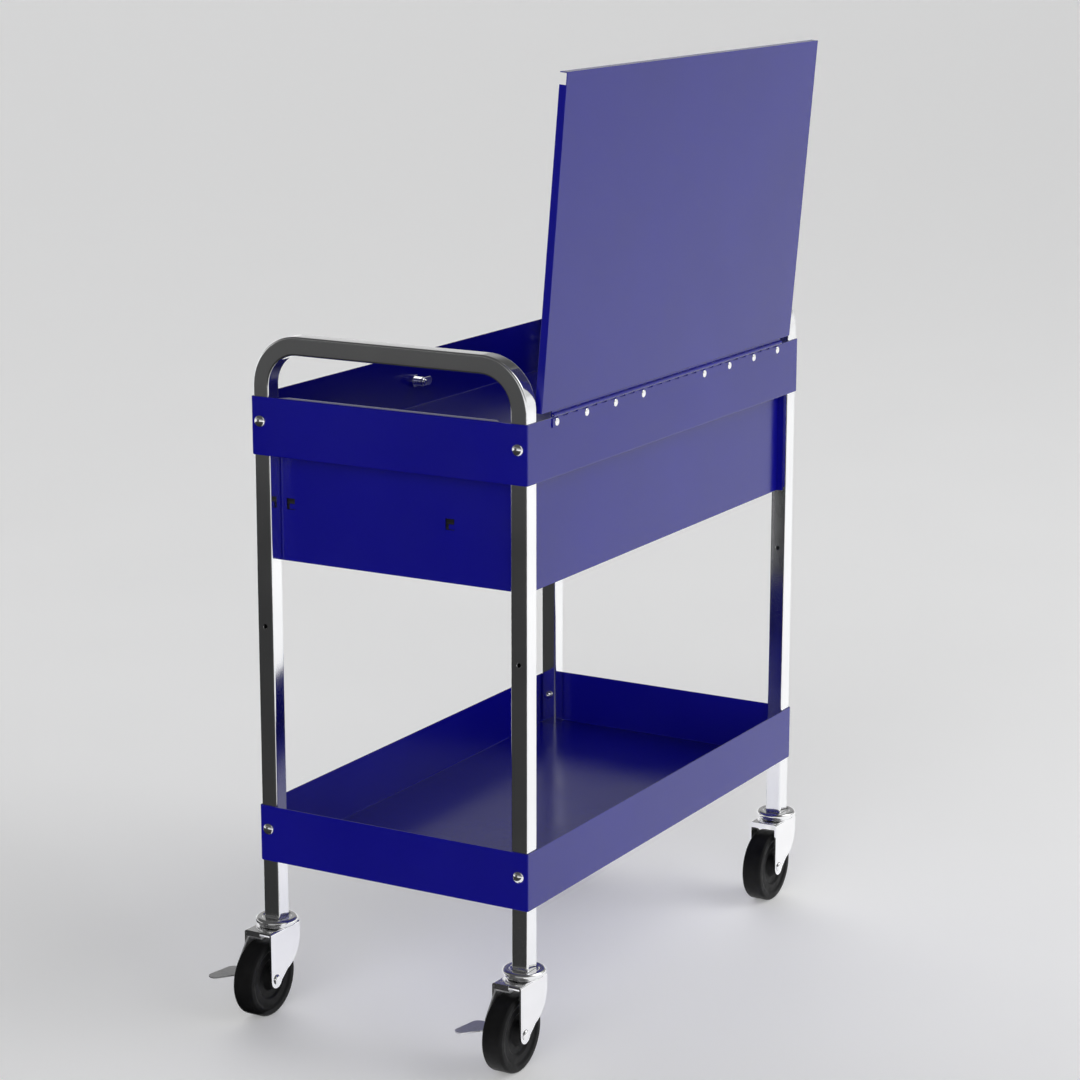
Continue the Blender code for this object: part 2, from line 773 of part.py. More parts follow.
def build_drawer():
    """An open box between the slides, and a folded front with a finger pull."""
    front_y = -HOUSING_HALF_DEPTH
    floor_z = HOUSING_BOTTOM_Z + DRAWER_FLOOR_RISE
    box_front = front_y + DRAWER_SHEET + FIT
    low = (-DRAWER_HALF_WIDTH, box_front, floor_z)
    high = (
        DRAWER_HALF_WIDTH,
        SLIDE_FRONT_Y + SLIDE_LENGTH,
        floor_z + DRAWER_HEIGHT,
    )
    box = add_part("drawer_box", open_box_mesh(low, high, [(0, 0, 1)]), BLUE)
    solidify(box, DRAWER_SHEET)
    half = PANEL_INNER_X - DRAWER_SIDE_GAP
    bottom = HOUSING_BOTTOM_Z + DRAWER_BOTTOM_GAP
    top = UPPER_TRAY_Z - DRAWER_TOP_GAP
    profile = [
        (-half, front_y + DRAWER_RETURN, bottom),
        (-half, front_y, bottom),
        (-half, front_y, top),
        (-half, front_y - PULL_REACH, top),
        (-half, front_y - PULL_REACH, top - PULL_DROP),
    ]
    front = add_part("drawer_front", ribbon_mesh(profile, (2 * half, 0, 0)), BLUE)
    solidify(front, DRAWER_SHEET)


def knuckle_outline(neck_low, neck_high, neck_end):
    """A hinge knuckle with its pin hole and a neck that runs along +X to its leaf."""
    radius = HINGE_KNUCKLE_RADIUS
    start = math.degrees(math.asin(neck_high / radius))
    finish = math.degrees(math.asin(neck_low / radius)) + 360
    loop = arc((0, 0), radius, start, finish, KNUCKLE_STEPS)
    loop += [(neck_end, neck_low), (neck_end, neck_high)]
    return [loop, polygon(HINGE_PIN_RADIUS + HINGE_PIN_PLAY, KNUCKLE_STEPS)]


def arrayed_knuckles(outline, first_x, rotation, parent, location):
    """Every second knuckle of the hinge, in a row along X."""
    mesh = plate_mesh(outline, KNUCKLE_LENGTH - FIT)
    tool = add_tool(mesh, parent, location, rotation)
    tool.location.x = first_x
    array = tool.modifiers.new("knuckles", "ARRAY")
    array.count = HINGE_PAIRS
    array.use_relative_offset = False
    array.use_constant_offset = True
    array.constant_offset_displace = (0, 0, 2 * KNUCKLE_LENGTH)
    return tool


def build_hinge(lid):
    """A piano hinge: alternate knuckles of two leaves on one long pin."""
    half = HINGE_LENGTH / 2
    first_x = -half + KNUCKLE_LENGTH / 2
    second_x = first_x + KNUCKLE_LENGTH
    neck = HINGE_LEAF / 2 - SEAM / 4
    notch = HINGE_KNUCKLE_RADIUS + HINGE_NOTCH_GAP
    leaf_top = HINGE_AXIS_Z - notch
    leaf = add_part(
        "hinge_leaf_tray",
        box_mesh(
            (-half, HINGE_AXIS_Y - HINGE_LEAF / 2, leaf_top - TRAY_LEAF_HEIGHT),
            (half, HINGE_AXIS_Y + HINGE_LEAF / 2, leaf_top),
        ),
        BLUE,
    )
    downward = (0, math.pi / 2, 0)
    axis = (0, HINGE_AXIS_Y, HINGE_AXIS_Z)
    outline = knuckle_outline(-neck, neck, notch + HINGE_LEAF)
    knuckles = arrayed_knuckles(outline, first_x, downward, CART, axis)
    boolean(leaf, knuckles, "UNION")

    leaf_y = -HINGE_KNUCKLE_RADIUS
    leaf = add_part(
        "hinge_leaf_lid",
        box_mesh((-half, leaf_y, notch), (half, leaf_y + HINGE_LEAF, LID_LEAF_END)),
        BLUE,
        lid,
    )
    upward = (0, -math.pi / 2, math.pi)
    neck_high = HINGE_KNUCKLE_RADIUS - SEAM / 2
    neck_low = HINGE_KNUCKLE_RADIUS - HINGE_LEAF + SEAM / 2
    outline = knuckle_outline(neck_low, neck_high, notch + HINGE_LEAF)
    knuckles = arrayed_knuckles(outline, second_x, upward, lid, (0, 0, 0))
    boolean(leaf, knuckles, "UNION")

    pin = rod_mesh(
        (-half, HINGE_AXIS_Y, HINGE_AXIS_Z),
        (half, HINGE_AXIS_Y, HINGE_AXIS_Z),
        HINGE_PIN_RADIUS,
        HOLE_SIDES,
    )
    add_part("hinge_pin", smooth(pin), ZINC)


def build_lid(lid):
    """The lid, in its own upright frame: hinge axis along X, outer face toward +Y."""
    surface = open_box_mesh(
        (-LID_HALF_WIDTH, LID_OUTER_Y - LID_FLANGE, LID_REAR_EDGE),
        (LID_HALF_WIDTH, LID_OUTER_Y, LID_FRONT_EDGE),
        [(0, -1, 0), (0, 0, -1)],
    )
    pan = add_part("lid", surface, BLUE, lid)
    solidify(pan, LID_SHEET)
    inner_y = LID_OUTER_Y - LID_SHEET
    notches = [
        box_mesh(
            (
                sign * LID_HALF_WIDTH - 2 * LID_SHEET,
                LID_OUTER_Y - 2 * LID_FLANGE,
                LID_FLANGE_END,
            ),
            (
                sign * LID_HALF_WIDTH + 2 * LID_SHEET,
                inner_y,
                LID_FRONT_EDGE - LID_SHEET,
            ),
        )
        for sign in ENDS.values()
    ]
    boolean(pan, add_tool(join_meshes(notches), lid), "DIFFERENCE")


def build_lock():
    """A cam lock through the front wall: barrel, nut, and a plug that turns the cam."""
    along_y = (-math.pi / 2, 0, 0)
    wall_y = -TRAY_WIDTH / 2
    centre = (0, wall_y, LOCK_Z)
    bore = LOCK_PLUG_RADIUS + BORE_PLAY
    front = -FIT - LOCK_FLANGE
    flange = LOCK_BARREL_RADIUS + LOCK_FLANGE_WIDTH
    barrel = [
        (bore, LOCK_BARREL_LENGTH),
        (LOCK_BARREL_RADIUS, LOCK_BARREL_LENGTH),
        (LOCK_BARREL_RADIUS, -FIT),
        (flange, -FIT),
        (flange - LOCK_FLANGE_TAPER, front),
        (bore, front),
    ]
    mesh = turned_mesh(barrel, LOCK_STEPS, closed=True)
    add_part("lock_barrel", mesh, CHROME, CART, centre, along_y)

    nut_low = TRAY_SHEET + FIT
    loops = [
        polygon(LOCK_BARREL_RADIUS + LOCK_NUT_WALL, 6),
        polygon(LOCK_BARREL_RADIUS + FIT, LOCK_STEPS),
    ]
    nut_y = wall_y + nut_low + LOCK_NUT_HEIGHT / 2
    add_part(
        "lock_nut",
        plate_mesh(loops, LOCK_NUT_HEIGHT),
        CHROME,
        CART,
        (0, nut_y, LOCK_Z),
        along_y,
    )

    cam_y = LOCK_BARREL_LENGTH + FIT
    plug = turned_mesh(
        [
            (0, cam_y + LOCK_CAM / 2),
            (LOCK_PLUG_RADIUS, cam_y + LOCK_CAM / 2),
            (LOCK_PLUG_RADIUS, front),
            (0, front),
        ],
        LOCK_STEPS,
    )
    plug = add_part("lock_plug", plug, CHROME, CART, centre, along_y)
    face_y = wall_y + front
    keyway = box_mesh(
        (-KEYWAY_WIDTH / 2, face_y - KEYWAY_DEPTH, LOCK_Z - KEYWAY_HEIGHT / 2),
        (KEYWAY_WIDTH / 2, face_y + KEYWAY_DEPTH, LOCK_Z + KEYWAY_HEIGHT / 2),
    )
    boolean(plug, add_tool(keyway), "DIFFERENCE")
    half = LOCK_CAM_WIDTH / 2
    tip = LOCK_CAM_REACH - half
    cam = [*arc((0, 0), half, -90, 90, 8), *arc((-tip, 0), half, 90, 270, 6)]
    plate_y = wall_y + cam_y + LOCK_CAM / 2
    plate = add_tool(plate_mesh([cam], LOCK_CAM), CART, (0, plate_y, LOCK_Z), STAND_XZ)
    boolean(plug, plate, "UNION")


def wheel_mesh():
    """A solid rubber wheel, turned about Z, with stepped faces and a long hub."""
    face = WHEEL_HALF_WIDTH
    band, step_one, ring, step_two, web = [
        WHEEL_RADIUS * share for share in WHEEL_STEP_SHARES
    ]
    shallow = face - WHEEL_STEP_DEPTHS[0]
    deep = face - WHEEL_STEP_DEPTHS[1]
    hub = FORK_HALF_WIDTH - FORK_SHEET - FIT
    bore = AXLE_RADIUS + BORE_PLAY
    upper = [
        (bore, hub),
        (WHEEL_HUB_RADIUS, hub),
        (web, deep),
        (step_two, deep),
        (ring, shallow),
        (step_one, shallow),
        (band, face),
        (WHEEL_RADIUS - WHEEL_EDGE, face),
        (WHEEL_RADIUS, face - WHEEL_EDGE),
    ]
    lower = [(radius, -height) for radius, height in reversed(upper)]
    return turned_mesh(upper + lower, TURN_STEPS, closed=True)


def axle_mesh():
    """A round headed axle, turned about Z."""
    seat = FORK_HALF_WIDTH + FIT
    upper = [
        (AXLE_HEAD_RADIUS * across, seat + AXLE_HEAD * up)
        for across, up in arc((0, 0), 1, 90, 0, DOME_STEPS)
    ]
    upper[0] = (0, seat + AXLE_HEAD)
    upper.append((AXLE_RADIUS, seat))
    lower = [(radius, -height) for radius, height in reversed(upper)]
    return turned_mesh(upper + lower, SMALL_TURN_STEPS)


def cap_mesh():
    """The fixed upper race: leg stem, rim and king pin in one turned piece."""
    stem = TUBE / 2 - TUBE_WALL - STEM_PLAY
    seat = TUBE / 2 * math.sqrt(2) + STEM_PLAY
    rim = (seat + CAP_RADIUS) / 2
    edge = CAP_SEAT_Z - CAP_HEIGHT / 3
    head = FORK_UNDER_Z - FIT
    profile = [
        (0, CAP_SEAT_Z + STEM_LENGTH),
        (stem, CAP_SEAT_Z + STEM_LENGTH),
        (stem, CAP_SEAT_Z),
        (seat, CAP_SEAT_Z),
        (rim, CAP_SEAT_Z + CAP_RIM_RISE),
        (CAP_RADIUS, edge),
        (CAP_RADIUS - CAP_RIM_RISE / 2, CAP_Z),
        (KINGPIN_RADIUS, CAP_Z),
        (KINGPIN_RADIUS, head),
        (KINGPIN_HEAD_RADIUS, head),
        (KINGPIN_HEAD_RADIUS, head - KINGPIN_HEAD),
        (0, head - KINGPIN_HEAD),
    ]
    return turned_mesh(profile, RACE_STEPS)


def fork_outline():
    """The fork's side view in (X, Z), from the crown round the axle and up the back."""
    sweep_centre = (-FORK_BACK + FORK_SWEEP_RADIUS, FORK_TOP_Z - FORK_SWEEP_DROP)
    end = arc((CASTER_TRAIL, WHEEL_RADIUS), FORK_END_RADIUS, 0, -160, 7)
    back = arc(sweep_centre, FORK_SWEEP_RADIUS, 252, 180, 5)
    crown = FORK_TOP_Z + FORK_SHEET
    return [(FORK_FRONT, crown), *end, *back, (-FORK_BACK, crown)]


def fork_mesh(braked):
    """A folded fork, trimmed to its side view, with a raised race and a front lip."""
    width = FORK_HALF_WIDTH
    foot = WHEEL_RADIUS - 2 * FORK_END_RADIUS
    span = FORK_FRONT + FORK_BACK + 2 * FORK_SHEET
    profile = [
        (-FORK_BACK - FORK_SHEET, -width, foot),
        (-FORK_BACK - FORK_SHEET, -width, FORK_TOP_Z),
        (-FORK_BACK - FORK_SHEET, width, FORK_TOP_Z),
        (-FORK_BACK - FORK_SHEET, width, foot),
    ]
    fork = add_tool(ribbon_mesh(profile, (span, 0, 0)), None)
    bevel(fork, FORK_FOLD)
    solidify(fork, FORK_SHEET)
    side_view = plate_mesh([fork_outline()], 4 * width)
    boolean(fork, add_tool(side_view, None, (0, 0, 0), STAND_XZ), "INTERSECT")
    race = turned_mesh(
        [
            (0, FORK_TOP_Z + RACE_RISE),
            (RACE_RADIUS - RACE_RISE, FORK_TOP_Z + RACE_RISE),
            (RACE_RADIUS, FORK_TOP_Z),
            (RACE_RADIUS, FORK_TOP_Z - FORK_SHEET / 2),
            (0, FORK_TOP_Z - FORK_SHEET / 2),
        ],
        RACE_STEPS,
    )
    boolean(fork, add_tool(race, None), "UNION")
    lip = box_mesh(
        (FORK_FRONT + SEAM - FORK_SHEET, -width + FORK_FOLD, FORK_TOP_Z - FORK_LIP_DROP),
        (FORK_FRONT + SEAM, FORK_LIP_INNER, FORK_TOP_Z - SEAM),
    )
    boolean(fork, add_tool(lip, None), "UNION")
    kingpin_hole = rod_mesh(
        (0, 0, FORK_UNDER_Z - FORK_SHEET),
        (0, 0, CAP_SEAT_Z),
        KINGPIN_RADIUS + FIT,
        RACE_STEPS,
    )
    axle_hole = rod_mesh(
        (CASTER_TRAIL, -2 * width, WHEEL_RADIUS),
        (CASTER_TRAIL, 2 * width, WHEEL_RADIUS),
        AXLE_RADIUS + FIT,
    )
    holes = [kingpin_hole, axle_hole]
    if braked:
        holes.append(
            rod_mesh(
                (BRAKE_PIVOT_X, -2 * width, BRAKE_PIVOT_Z),
                (BRAKE_PIVOT_X, 0, BRAKE_PIVOT_Z),
                BRAKE_PIN_RADIUS + FIT,
            )
        )
    boolean(fork, add_tool(join_meshes(holes), None), "DIFFERENCE")
    return smooth(bake(fork))


def paddle_outline():
    """The brake paddle from above: a neck past the fork, then a rounded leaf."""
    neck_front = PADDLE_NECK_X + PADDLE_NECK_WIDTH
    outside = -(FORK_HALF_WIDTH + 2 * BRAKE_SHEET)
    back_x = FORK_FRONT - PADDLE_BACKSET + PADDLE_BACK_RADIUS
    tip = arc(
        (PADDLE_TIP_X - PADDLE_TIP_RADIUS, -PADDLE_REACH + PADDLE_TIP_RADIUS),
        PADDLE_TIP_RADIUS,
        40,
        -90,
        5,
    )
    back = arc(
        (back_x, -PADDLE_REACH + PADDLE_BACK_RADIUS + 2 * BRAKE_SHEET),
        PADDLE_BACK_RADIUS,
        -120,
        -190,
        3,
    )
    return [
        (PADDLE_NECK_X, BRAKE_INNER_Y),
        (neck_front, BRAKE_INNER_Y),
        (neck_front, outside),
        *tip,
        *back,
        (FORK_FRONT, outside - BRAKE_SHEET),
        (PADDLE_NECK_X, outside),
    ]


def brake_mesh():
    """A brake lever between fork and wheel: pivot, shoe over the tread, foot paddle."""
    inner = BRAKE_INNER_Y
    shoe_z = 2 * WHEEL_RADIUS + BRAKE_SHOE_GAP
    shoe_top = shoe_z + BRAKE_SHOE
    shoe_front = FORK_FRONT - FORK_SHEET
    shoe_back = shoe_front - 3 * FORK_SHEET
    neck_front = PADDLE_NECK_X + PADDLE_NECK_WIDTH
    neck_z = PADDLE_Z - BRAKE_SHEET
    arm = [
        *arc((BRAKE_PIVOT_X, BRAKE_PIVOT_Z), BRAKE_EYE_RADIUS, 110, 270, 6),
        (CASTER_TRAIL, BRAKE_PIVOT_Z - BRAKE_ARM_DROP),
        (PADDLE_NECK_X, neck_z + BRAKE_NECK_BACK),
        (PADDLE_NECK_X, neck_z),
        (neck_front, neck_z),
        (neck_front, neck_z + BRAKE_NECK_FRONT),
        (shoe_front, shoe_top),
        (shoe_back, shoe_top),
    ]
    plate = plate_mesh([arm], BRAKE_SHEET)
    lever = add_tool(plate, None, (0, inner + BRAKE_SHEET / 2, 0), STAND_XZ)
    shoe = box_mesh(
        (shoe_back + SEAM, inner + SEAM, shoe_z),
        (shoe_front - SEAM, inner + BRAKE_SHOE_WIDTH, shoe_top - SEAM),
    )
    boolean(lever, add_tool(shoe, None), "UNION")
    paddle = add_tool(
        plate_mesh([paddle_outline()], BRAKE_SHEET),
        None,
        (0, SEAM, PADDLE_Z - BRAKE_SHEET / 2),
    )
    boolean(lever, paddle, "UNION")
    pin = rod_mesh(
        (BRAKE_PIVOT_X, -FORK_HALF_WIDTH, BRAKE_PIVOT_Z),
        (BRAKE_PIVOT_X, inner + BRAKE_SHEET / 2, BRAKE_PIVOT_Z),
        BRAKE_PIN_RADIUS,
    )
    boolean(lever, add_tool(pin, None), "UNION")
    bpy.context.view_layer.update()
    placed = lever.matrix_world.copy()
    mesh = bake(lever)
    mesh.transform(placed)
    mesh.transform(Matrix.Translation((-BRAKE_PIVOT_X, 0, -BRAKE_PIVOT_Z)))
    return smooth(mesh)


def build_casters():
    wheel = wheel_mesh()
    axle = axle_mesh()
    cap = cap_mesh()
    forks = {braked: fork_mesh(braked) for braked in (True, False)}
    brake = brake_mesh()
    along_y = (math.pi / 2, 0, 0)
    for end, x_sign in ENDS.items():
        for side, y_sign in SIDES.items():
            corner = f"{end}_{side}"
            leg = (x_sign * LEG_X, y_sign * LEG_Y, 0)
            add_part(f"caster_cap_{corner}", cap.copy(), CHROME, CART, leg)
            swivel = make_empty(f"swivel_{corner}", leg, CART)
            fork = forks[end == BRAKED_END].copy()
            add_part(f"caster_fork_{corner}", fork, CHROME, swivel)
            hub = (CASTER_TRAIL, 0, WHEEL_RADIUS)
            add_part(f"wheel_{corner}", wheel.copy(), RUBBER, swivel, hub, along_y)
            add_part(f"axle_{corner}", axle.copy(), ZINC, swivel, hub, along_y)
            if end == BRAKED_END:
                pivot = (BRAKE_PIVOT_X, 0, BRAKE_PIVOT_Z)
                add_part(f"brake_{corner}", brake.copy(), ZINC, swivel, pivot)


def build_cart():
    for end in ENDS:
        build_end_frame(end)
    build_trays()
    build_tray_bolts()
    build_housing()
    build_slides()
    build_drawer()
    lid = make_empty(
        "lid_axis", (0, HINGE_AXIS_Y, HINGE_AXIS_Z), CART, (-LID_LEAN, 0, 0)
    )
    build_hinge(lid)
    build_lid(lid)
    build_lock()
    build_casters()
    bpy.context.view_layer.update()


build_cart()
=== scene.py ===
"""Looks of the flip top service cart: finishes, fine turned and bent pieces, stage and camera."""

import json
import math

import bmesh
import bpy
from mathutils import Matrix, Vector

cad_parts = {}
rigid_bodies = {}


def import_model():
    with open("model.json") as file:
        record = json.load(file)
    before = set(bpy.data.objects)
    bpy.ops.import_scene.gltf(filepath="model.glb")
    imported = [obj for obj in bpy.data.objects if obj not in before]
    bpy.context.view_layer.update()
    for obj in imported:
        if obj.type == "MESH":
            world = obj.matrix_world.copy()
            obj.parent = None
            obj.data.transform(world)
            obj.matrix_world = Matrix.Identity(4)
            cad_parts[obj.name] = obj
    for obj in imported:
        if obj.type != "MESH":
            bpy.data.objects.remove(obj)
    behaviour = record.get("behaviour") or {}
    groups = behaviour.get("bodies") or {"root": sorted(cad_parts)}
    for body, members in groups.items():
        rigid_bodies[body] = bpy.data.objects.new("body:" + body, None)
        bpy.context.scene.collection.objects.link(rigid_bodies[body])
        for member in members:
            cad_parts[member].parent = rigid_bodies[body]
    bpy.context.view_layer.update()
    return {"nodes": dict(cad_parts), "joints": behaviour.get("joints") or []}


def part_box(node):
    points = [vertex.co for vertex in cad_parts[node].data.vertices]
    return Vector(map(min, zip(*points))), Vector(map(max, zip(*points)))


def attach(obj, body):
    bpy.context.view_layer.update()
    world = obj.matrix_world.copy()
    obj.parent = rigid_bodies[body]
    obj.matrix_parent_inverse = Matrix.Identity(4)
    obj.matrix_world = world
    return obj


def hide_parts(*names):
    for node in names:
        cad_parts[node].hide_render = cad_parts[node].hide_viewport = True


for leftover in list(bpy.data.objects):
    bpy.data.objects.remove(leftover, do_unlink=True)
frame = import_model()
NODES = frame["nodes"]
JOINTS = {joint["name"]: joint for joint in frame["joints"]}

CORNERS = ("a_front", "a_rear", "b_front", "b_rear")
LEVELS = ("lower", "upper")
ENDS = {"a": 1, "b": -1}

# Sizes shared with the solids, in metres
FIT = 0.0003
SEAM = 0.0002
TUBE_CORNER = 0.003
TUBE_WALL = 0.0015
HANDLE_BEND = 0.0544
BOLT_RADIUS = 0.003
BOLT_HEAD = 0.0055
NUT_RADIUS = 0.0056
NUT_HEIGHT = 0.0075
NUT_SKIRT = 0.003
SPARE_HOLE_RADIUS = 0.003
SPARE_HOLE_RISE = 0.3983
WHEEL_HALF_WIDTH = 0.0145
WHEEL_EDGE = 0.0025
WHEEL_HUB_RADIUS = 0.0125
WHEEL_STEP_SHARES = (0.807, 0.748, 0.551, 0.512, 0.325)
WHEEL_STEP_DEPTHS = (0.002, 0.0045)
AXLE_RADIUS = 0.004
AXLE_HEAD = 0.0034
BORE_PLAY = 0.0001
FORK_SHEET = 0.0025
FORK_HALF_WIDTH = 0.021
FORK_END_RADIUS = 0.0118
FORK_BACK = 0.0218
FORK_SWEEP_RADIUS = 0.042
FORK_SWEEP_DROP = 0.0185
FORK_FOLD = 0.003
FORK_LIP_DROP = 0.0075
FORK_LIP_INNER = 0.003
RACE_RADIUS = 0.025
RACE_RISE = 0.0026
CAP_HEIGHT = 0.005
CAP_RIM_RISE = 0.0016
CAP_SEAT_RADIUS = 0.0179
CAP_STEM_RADIUS = 0.0098
CAP_STEM_LENGTH = 0.036
KINGPIN_RADIUS = 0.005
KINGPIN_HEAD_RADIUS = 0.008
KINGPIN_HEAD = 0.0028
BRAKE_PIN_RADIUS = 0.003
HINGE_PITCH = 0.0124
HINGE_LEAF = 0.001
HINGE_KNUCKLE_RADIUS = 0.0023
HINGE_BORE_RADIUS = 0.0014
HINGE_NOTCH_GAP = 0.0004
TRAY_LEAF_HEIGHT = 0.0125
LID_LEAF_END = 0.020
LID_LEAN = math.radians(4.85)
LOCK_BARREL_RADIUS = 0.0065
LOCK_FLANGE = 0.0025
LOCK_FLANGE_TAPER = 0.0015
LOCK_BORE_RADIUS = 0.0043

# Sizes that only the looks have, in metres, and shares of the cap's rim
CAP_SHOULDER_SHARES = (1.6, 0.4)
HINGE_BARREL_RADIUS = 0.0026
TRAY_LEAF_NOTCH = 0.0018
RIVET_X = (0.0865, 0.1615, 0.2365, 0.3115)
RIVET_RADIUS = 0.005
RIVET_RISE = 0.0015
RIVET_DROP = 0.0112
LOCK_THREAD = 0.001
CAM_SCREW_RADIUS = 0.0042
CAM_SCREW_RISE = 0.0034
CAM_SCREW_SLOT_WIDTH = 0.0009
CAM_SCREW_SLOT_DEPTH = 0.0012

# How far edges and corners are rounded, in metres
NODE_EASE = 0.0004
TUBE_EASE = 0.0003
FORK_EASE = 0.0004
RACE_ROUND = 0.0012
CAP_ROUND = 0.0018
WHEEL_ROUND = 0.0016
LOCK_ROUND = 0.0009

# A rounding takes at most this share of the sides at a corner
ROUND_SHARE = 0.45

# Points nearer than this become one, or lie on a turned shape's axis, in metres
JOIN_DISTANCE = 0.000005
WELD_DISTANCE = 0.000001
AXIS_DISTANCE = 0.0000001

# Angles between faces in degrees: smooth below the first, eased above the next, flat below the last
SMOOTH_ANGLE = 34
EASE_ANGLE = 50
FLAT_ANGLE = 0.3

# Start and end of the fork's two arcs in its side view, in degrees
FORK_END_ARC = (0, -160)
FORK_SWEEP_ARC = (252, 180)

# Steps along bends and domes, and round turned shapes
TUBE_CORNER_STEPS = 6
CAP_ROUND_STEPS = 6
FOLD_STEPS = 8
DOME_STEPS = 8
BOLT_DOME_STEPS = 10
KNUCKLE_STEPS = 18
BORE_STEPS = 20
FORK_SWEEP_STEPS = 20
FORK_END_STEPS = 24
BEND_STEPS = 28
SMALL_STEPS = 32
PIN_STEPS = 40
LOCK_STEPS = 48
CAP_STEPS = 80
WHEEL_STEPS = 96

# Where most values of a noise lie
NOISE_LOW = 0.3
NOISE_HIGH = 0.7

# The pale floor and the dark cards that reflections see, in metres
FLOOR_REACH = 60
CARD_HEADING = math.radians(-30)
CARD_NEAR = 0.4
CARD_FAR = 8.0
CARD_LEFT = 4.2
CARD_RIGHT = -2.4
CARD_HEIGHT = 3.4
CARD_LIFT = 0.01
CARD_FADE_REACH = 1.6
# Painted reflection levels of the dark cards, at their -X and +X ends
CARD_REFLECTION_TONES = (0.035, 0.11)

# The high lamp: its place, what it points at, its sides in metres and its power in watts
LAMP_PLACE = (-2.2, 3.0, 4.0)
LAMP_AIM = (-1.6, 1.6, 0.0)
LAMP_SIDES = (3.0, 3.0)
LAMP_POWER = 50

# How the room fades as a ray looks higher: start and end of the fade, and the level at each
SKY_FADE = (0.0, 0.45, 0.5, 0.04)
LOW_HAZE_FADE = (0.08, 0.28, 0.95, 0.08)
HIGH_HAZE_FADE = (0.36, 0.52, 0.32, 0.08)

# Soft glows that light the cart: where each lies and how bright it is
ROOM_GLOWS = (
    ((-0.25, 0.93, 0.28), 1.75),
    ((0.93, 0.30, 0.20), 3.1),
    ((-0.70, -0.66, 0.26), 2.2),
)
GLOW_COSINES = (math.cos(math.radians(40)), math.cos(math.radians(15)))

# The bright panel that reflections see behind the hinge side
PANEL_TOWARDS = (-0.45, 0.72, 0.53)
PANEL_COSINES = (math.cos(math.radians(52)), math.cos(math.radians(26)))
PANEL_LEVEL = 0.75

# How pale the floor and the room look, to the camera and in reflections
FLOOR_GLOW_SEEN = 0.18
FLOOR_GLOW_MIRRORED = 0.46
BACKDROP_LEVEL = 0.64

# The camera, fitted to the view of the photograph
CAMERA_PLACE = (3.3944, 1.9756, 1.4948)
CAMERA_PITCH = math.radians(77.017)
CAMERA_HEADING = math.radians(119.953)
CAMERA_LENS = 99.32
CAMERA_SENSOR = 36
CAMERA_CLIP = 200

SWIVELS = {corner: Vector(JOINTS[f"swivel_{corner}"]["pos_m"]) for corner in CORNERS}
AXLES = {corner: Vector(JOINTS[f"wheel_spin_{corner}"]["pos_m"]) for corner in CORNERS}
HINGE_AXIS = Vector(JOINTS["lid_hinge"]["pos_m"])


class Shader:
    """A material's node tree, with short calls for the nodes that the finishes share."""

    def __init__(self, name):
        self.material = bpy.data.materials.new(name)
        self.material.use_nodes = True
        self.tree = self.material.node_tree
        self.bsdf = self.tree.nodes["Principled BSDF"]
        self.coords = self.node("ShaderNodeTexCoord").outputs["Object"]

    def node(self, kind, **settings):
        made = self.tree.nodes.new(kind)
        for key, value in settings.items():
            setattr(made, key, value)
        return made

    def link(self, source, target):
        self.tree.links.new(source, target)

    def noise(self, scale, detail=4.0, roughness=0.5, stretch=None):
        made = self.node("ShaderNodeTexNoise")
        made.inputs["Scale"].default_value = scale
        made.inputs["Detail"].default_value = detail
        made.inputs["Roughness"].default_value = roughness
        source = self.coords
        if stretch:
            mapping = self.node("ShaderNodeMapping")
            mapping.inputs["Scale"].default_value = stretch
            self.link(self.coords, mapping.inputs["Vector"])
            source = mapping.outputs["Vector"]
        self.link(source, made.inputs["Vector"])
        return made.outputs["Fac"]

    def cells(self, scale):
        made = self.node("ShaderNodeTexVoronoi")
        made.inputs["Scale"].default_value = scale
        self.link(self.coords, made.inputs["Vector"])
        return made.outputs["Color"]

    def ramp(self, source, *stops):
        made = self.node("ShaderNodeValToRGB")
        elements = made.color_ramp.elements
        while len(elements) < len(stops):
            elements.new(0.5)
        for element, (position, colour) in zip(elements, stops):
            element.position = position
            element.color = (*colour, 1.0)
        self.link(source, made.inputs["Fac"])
        return made.outputs["Color"]

    def spread(self, source, low, high):
        """A noise stretched between two values."""
        made = self.node("ShaderNodeMapRange")
        made.inputs["From Min"].default_value = NOISE_LOW
        made.inputs["From Max"].default_value = NOISE_HIGH
        made.inputs["To Min"].default_value = low
        made.inputs["To Max"].default_value = high
        self.link(source, made.inputs["Value"])
        return made.outputs["Result"]

    def add(self, first, second, weight):
        """The first value plus a share of the second."""
        made = self.node("ShaderNodeMath", operation="MULTIPLY_ADD")
        made.inputs[1].default_value = weight
        self.link(second, made.inputs[0])
        self.link(first, made.inputs[2])
        return made.outputs["Value"]

    def bump(self, source, strength, distance):
        made = self.node("ShaderNodeBump")
        made.inputs["Strength"].default_value = strength
        made.inputs["Distance"].default_value = distance
        self.link(source, made.inputs["Height"])
        self.link(made.outputs["Normal"], self.bsdf.inputs["Normal"])

    def set(self, **values):
        for key, value in values.items():
            self.bsdf.inputs[key.replace("_", " ")].default_value = value

    def feed(self, name, source):
        self.link(source, self.bsdf.inputs[name])


def blue_enamel():
    """Glossy sprayed enamel: deep blue, faint drift of tone, fine orange peel."""
    s = Shader("blue_enamel_finish")
    drift = s.noise(5.0, 3.0)
    fleck = s.noise(420.0, 2.0)
    tone = s.add(drift, fleck, 0.25)
    s.feed(
        "Base Color",
        s.ramp(tone, (0.35, (0.0022, 0.0018, 0.196)), (0.85, (0.0034, 0.0028, 0.232))),
    )
    s.feed("Roughness", s.spread(s.noise(9.0, 4.0), 0.17, 0.24))
    s.bump(s.noise(620.0, 2.0, 0.4), 0.35, 0.00006)
    s.set(IOR=1.5)
    return s.material


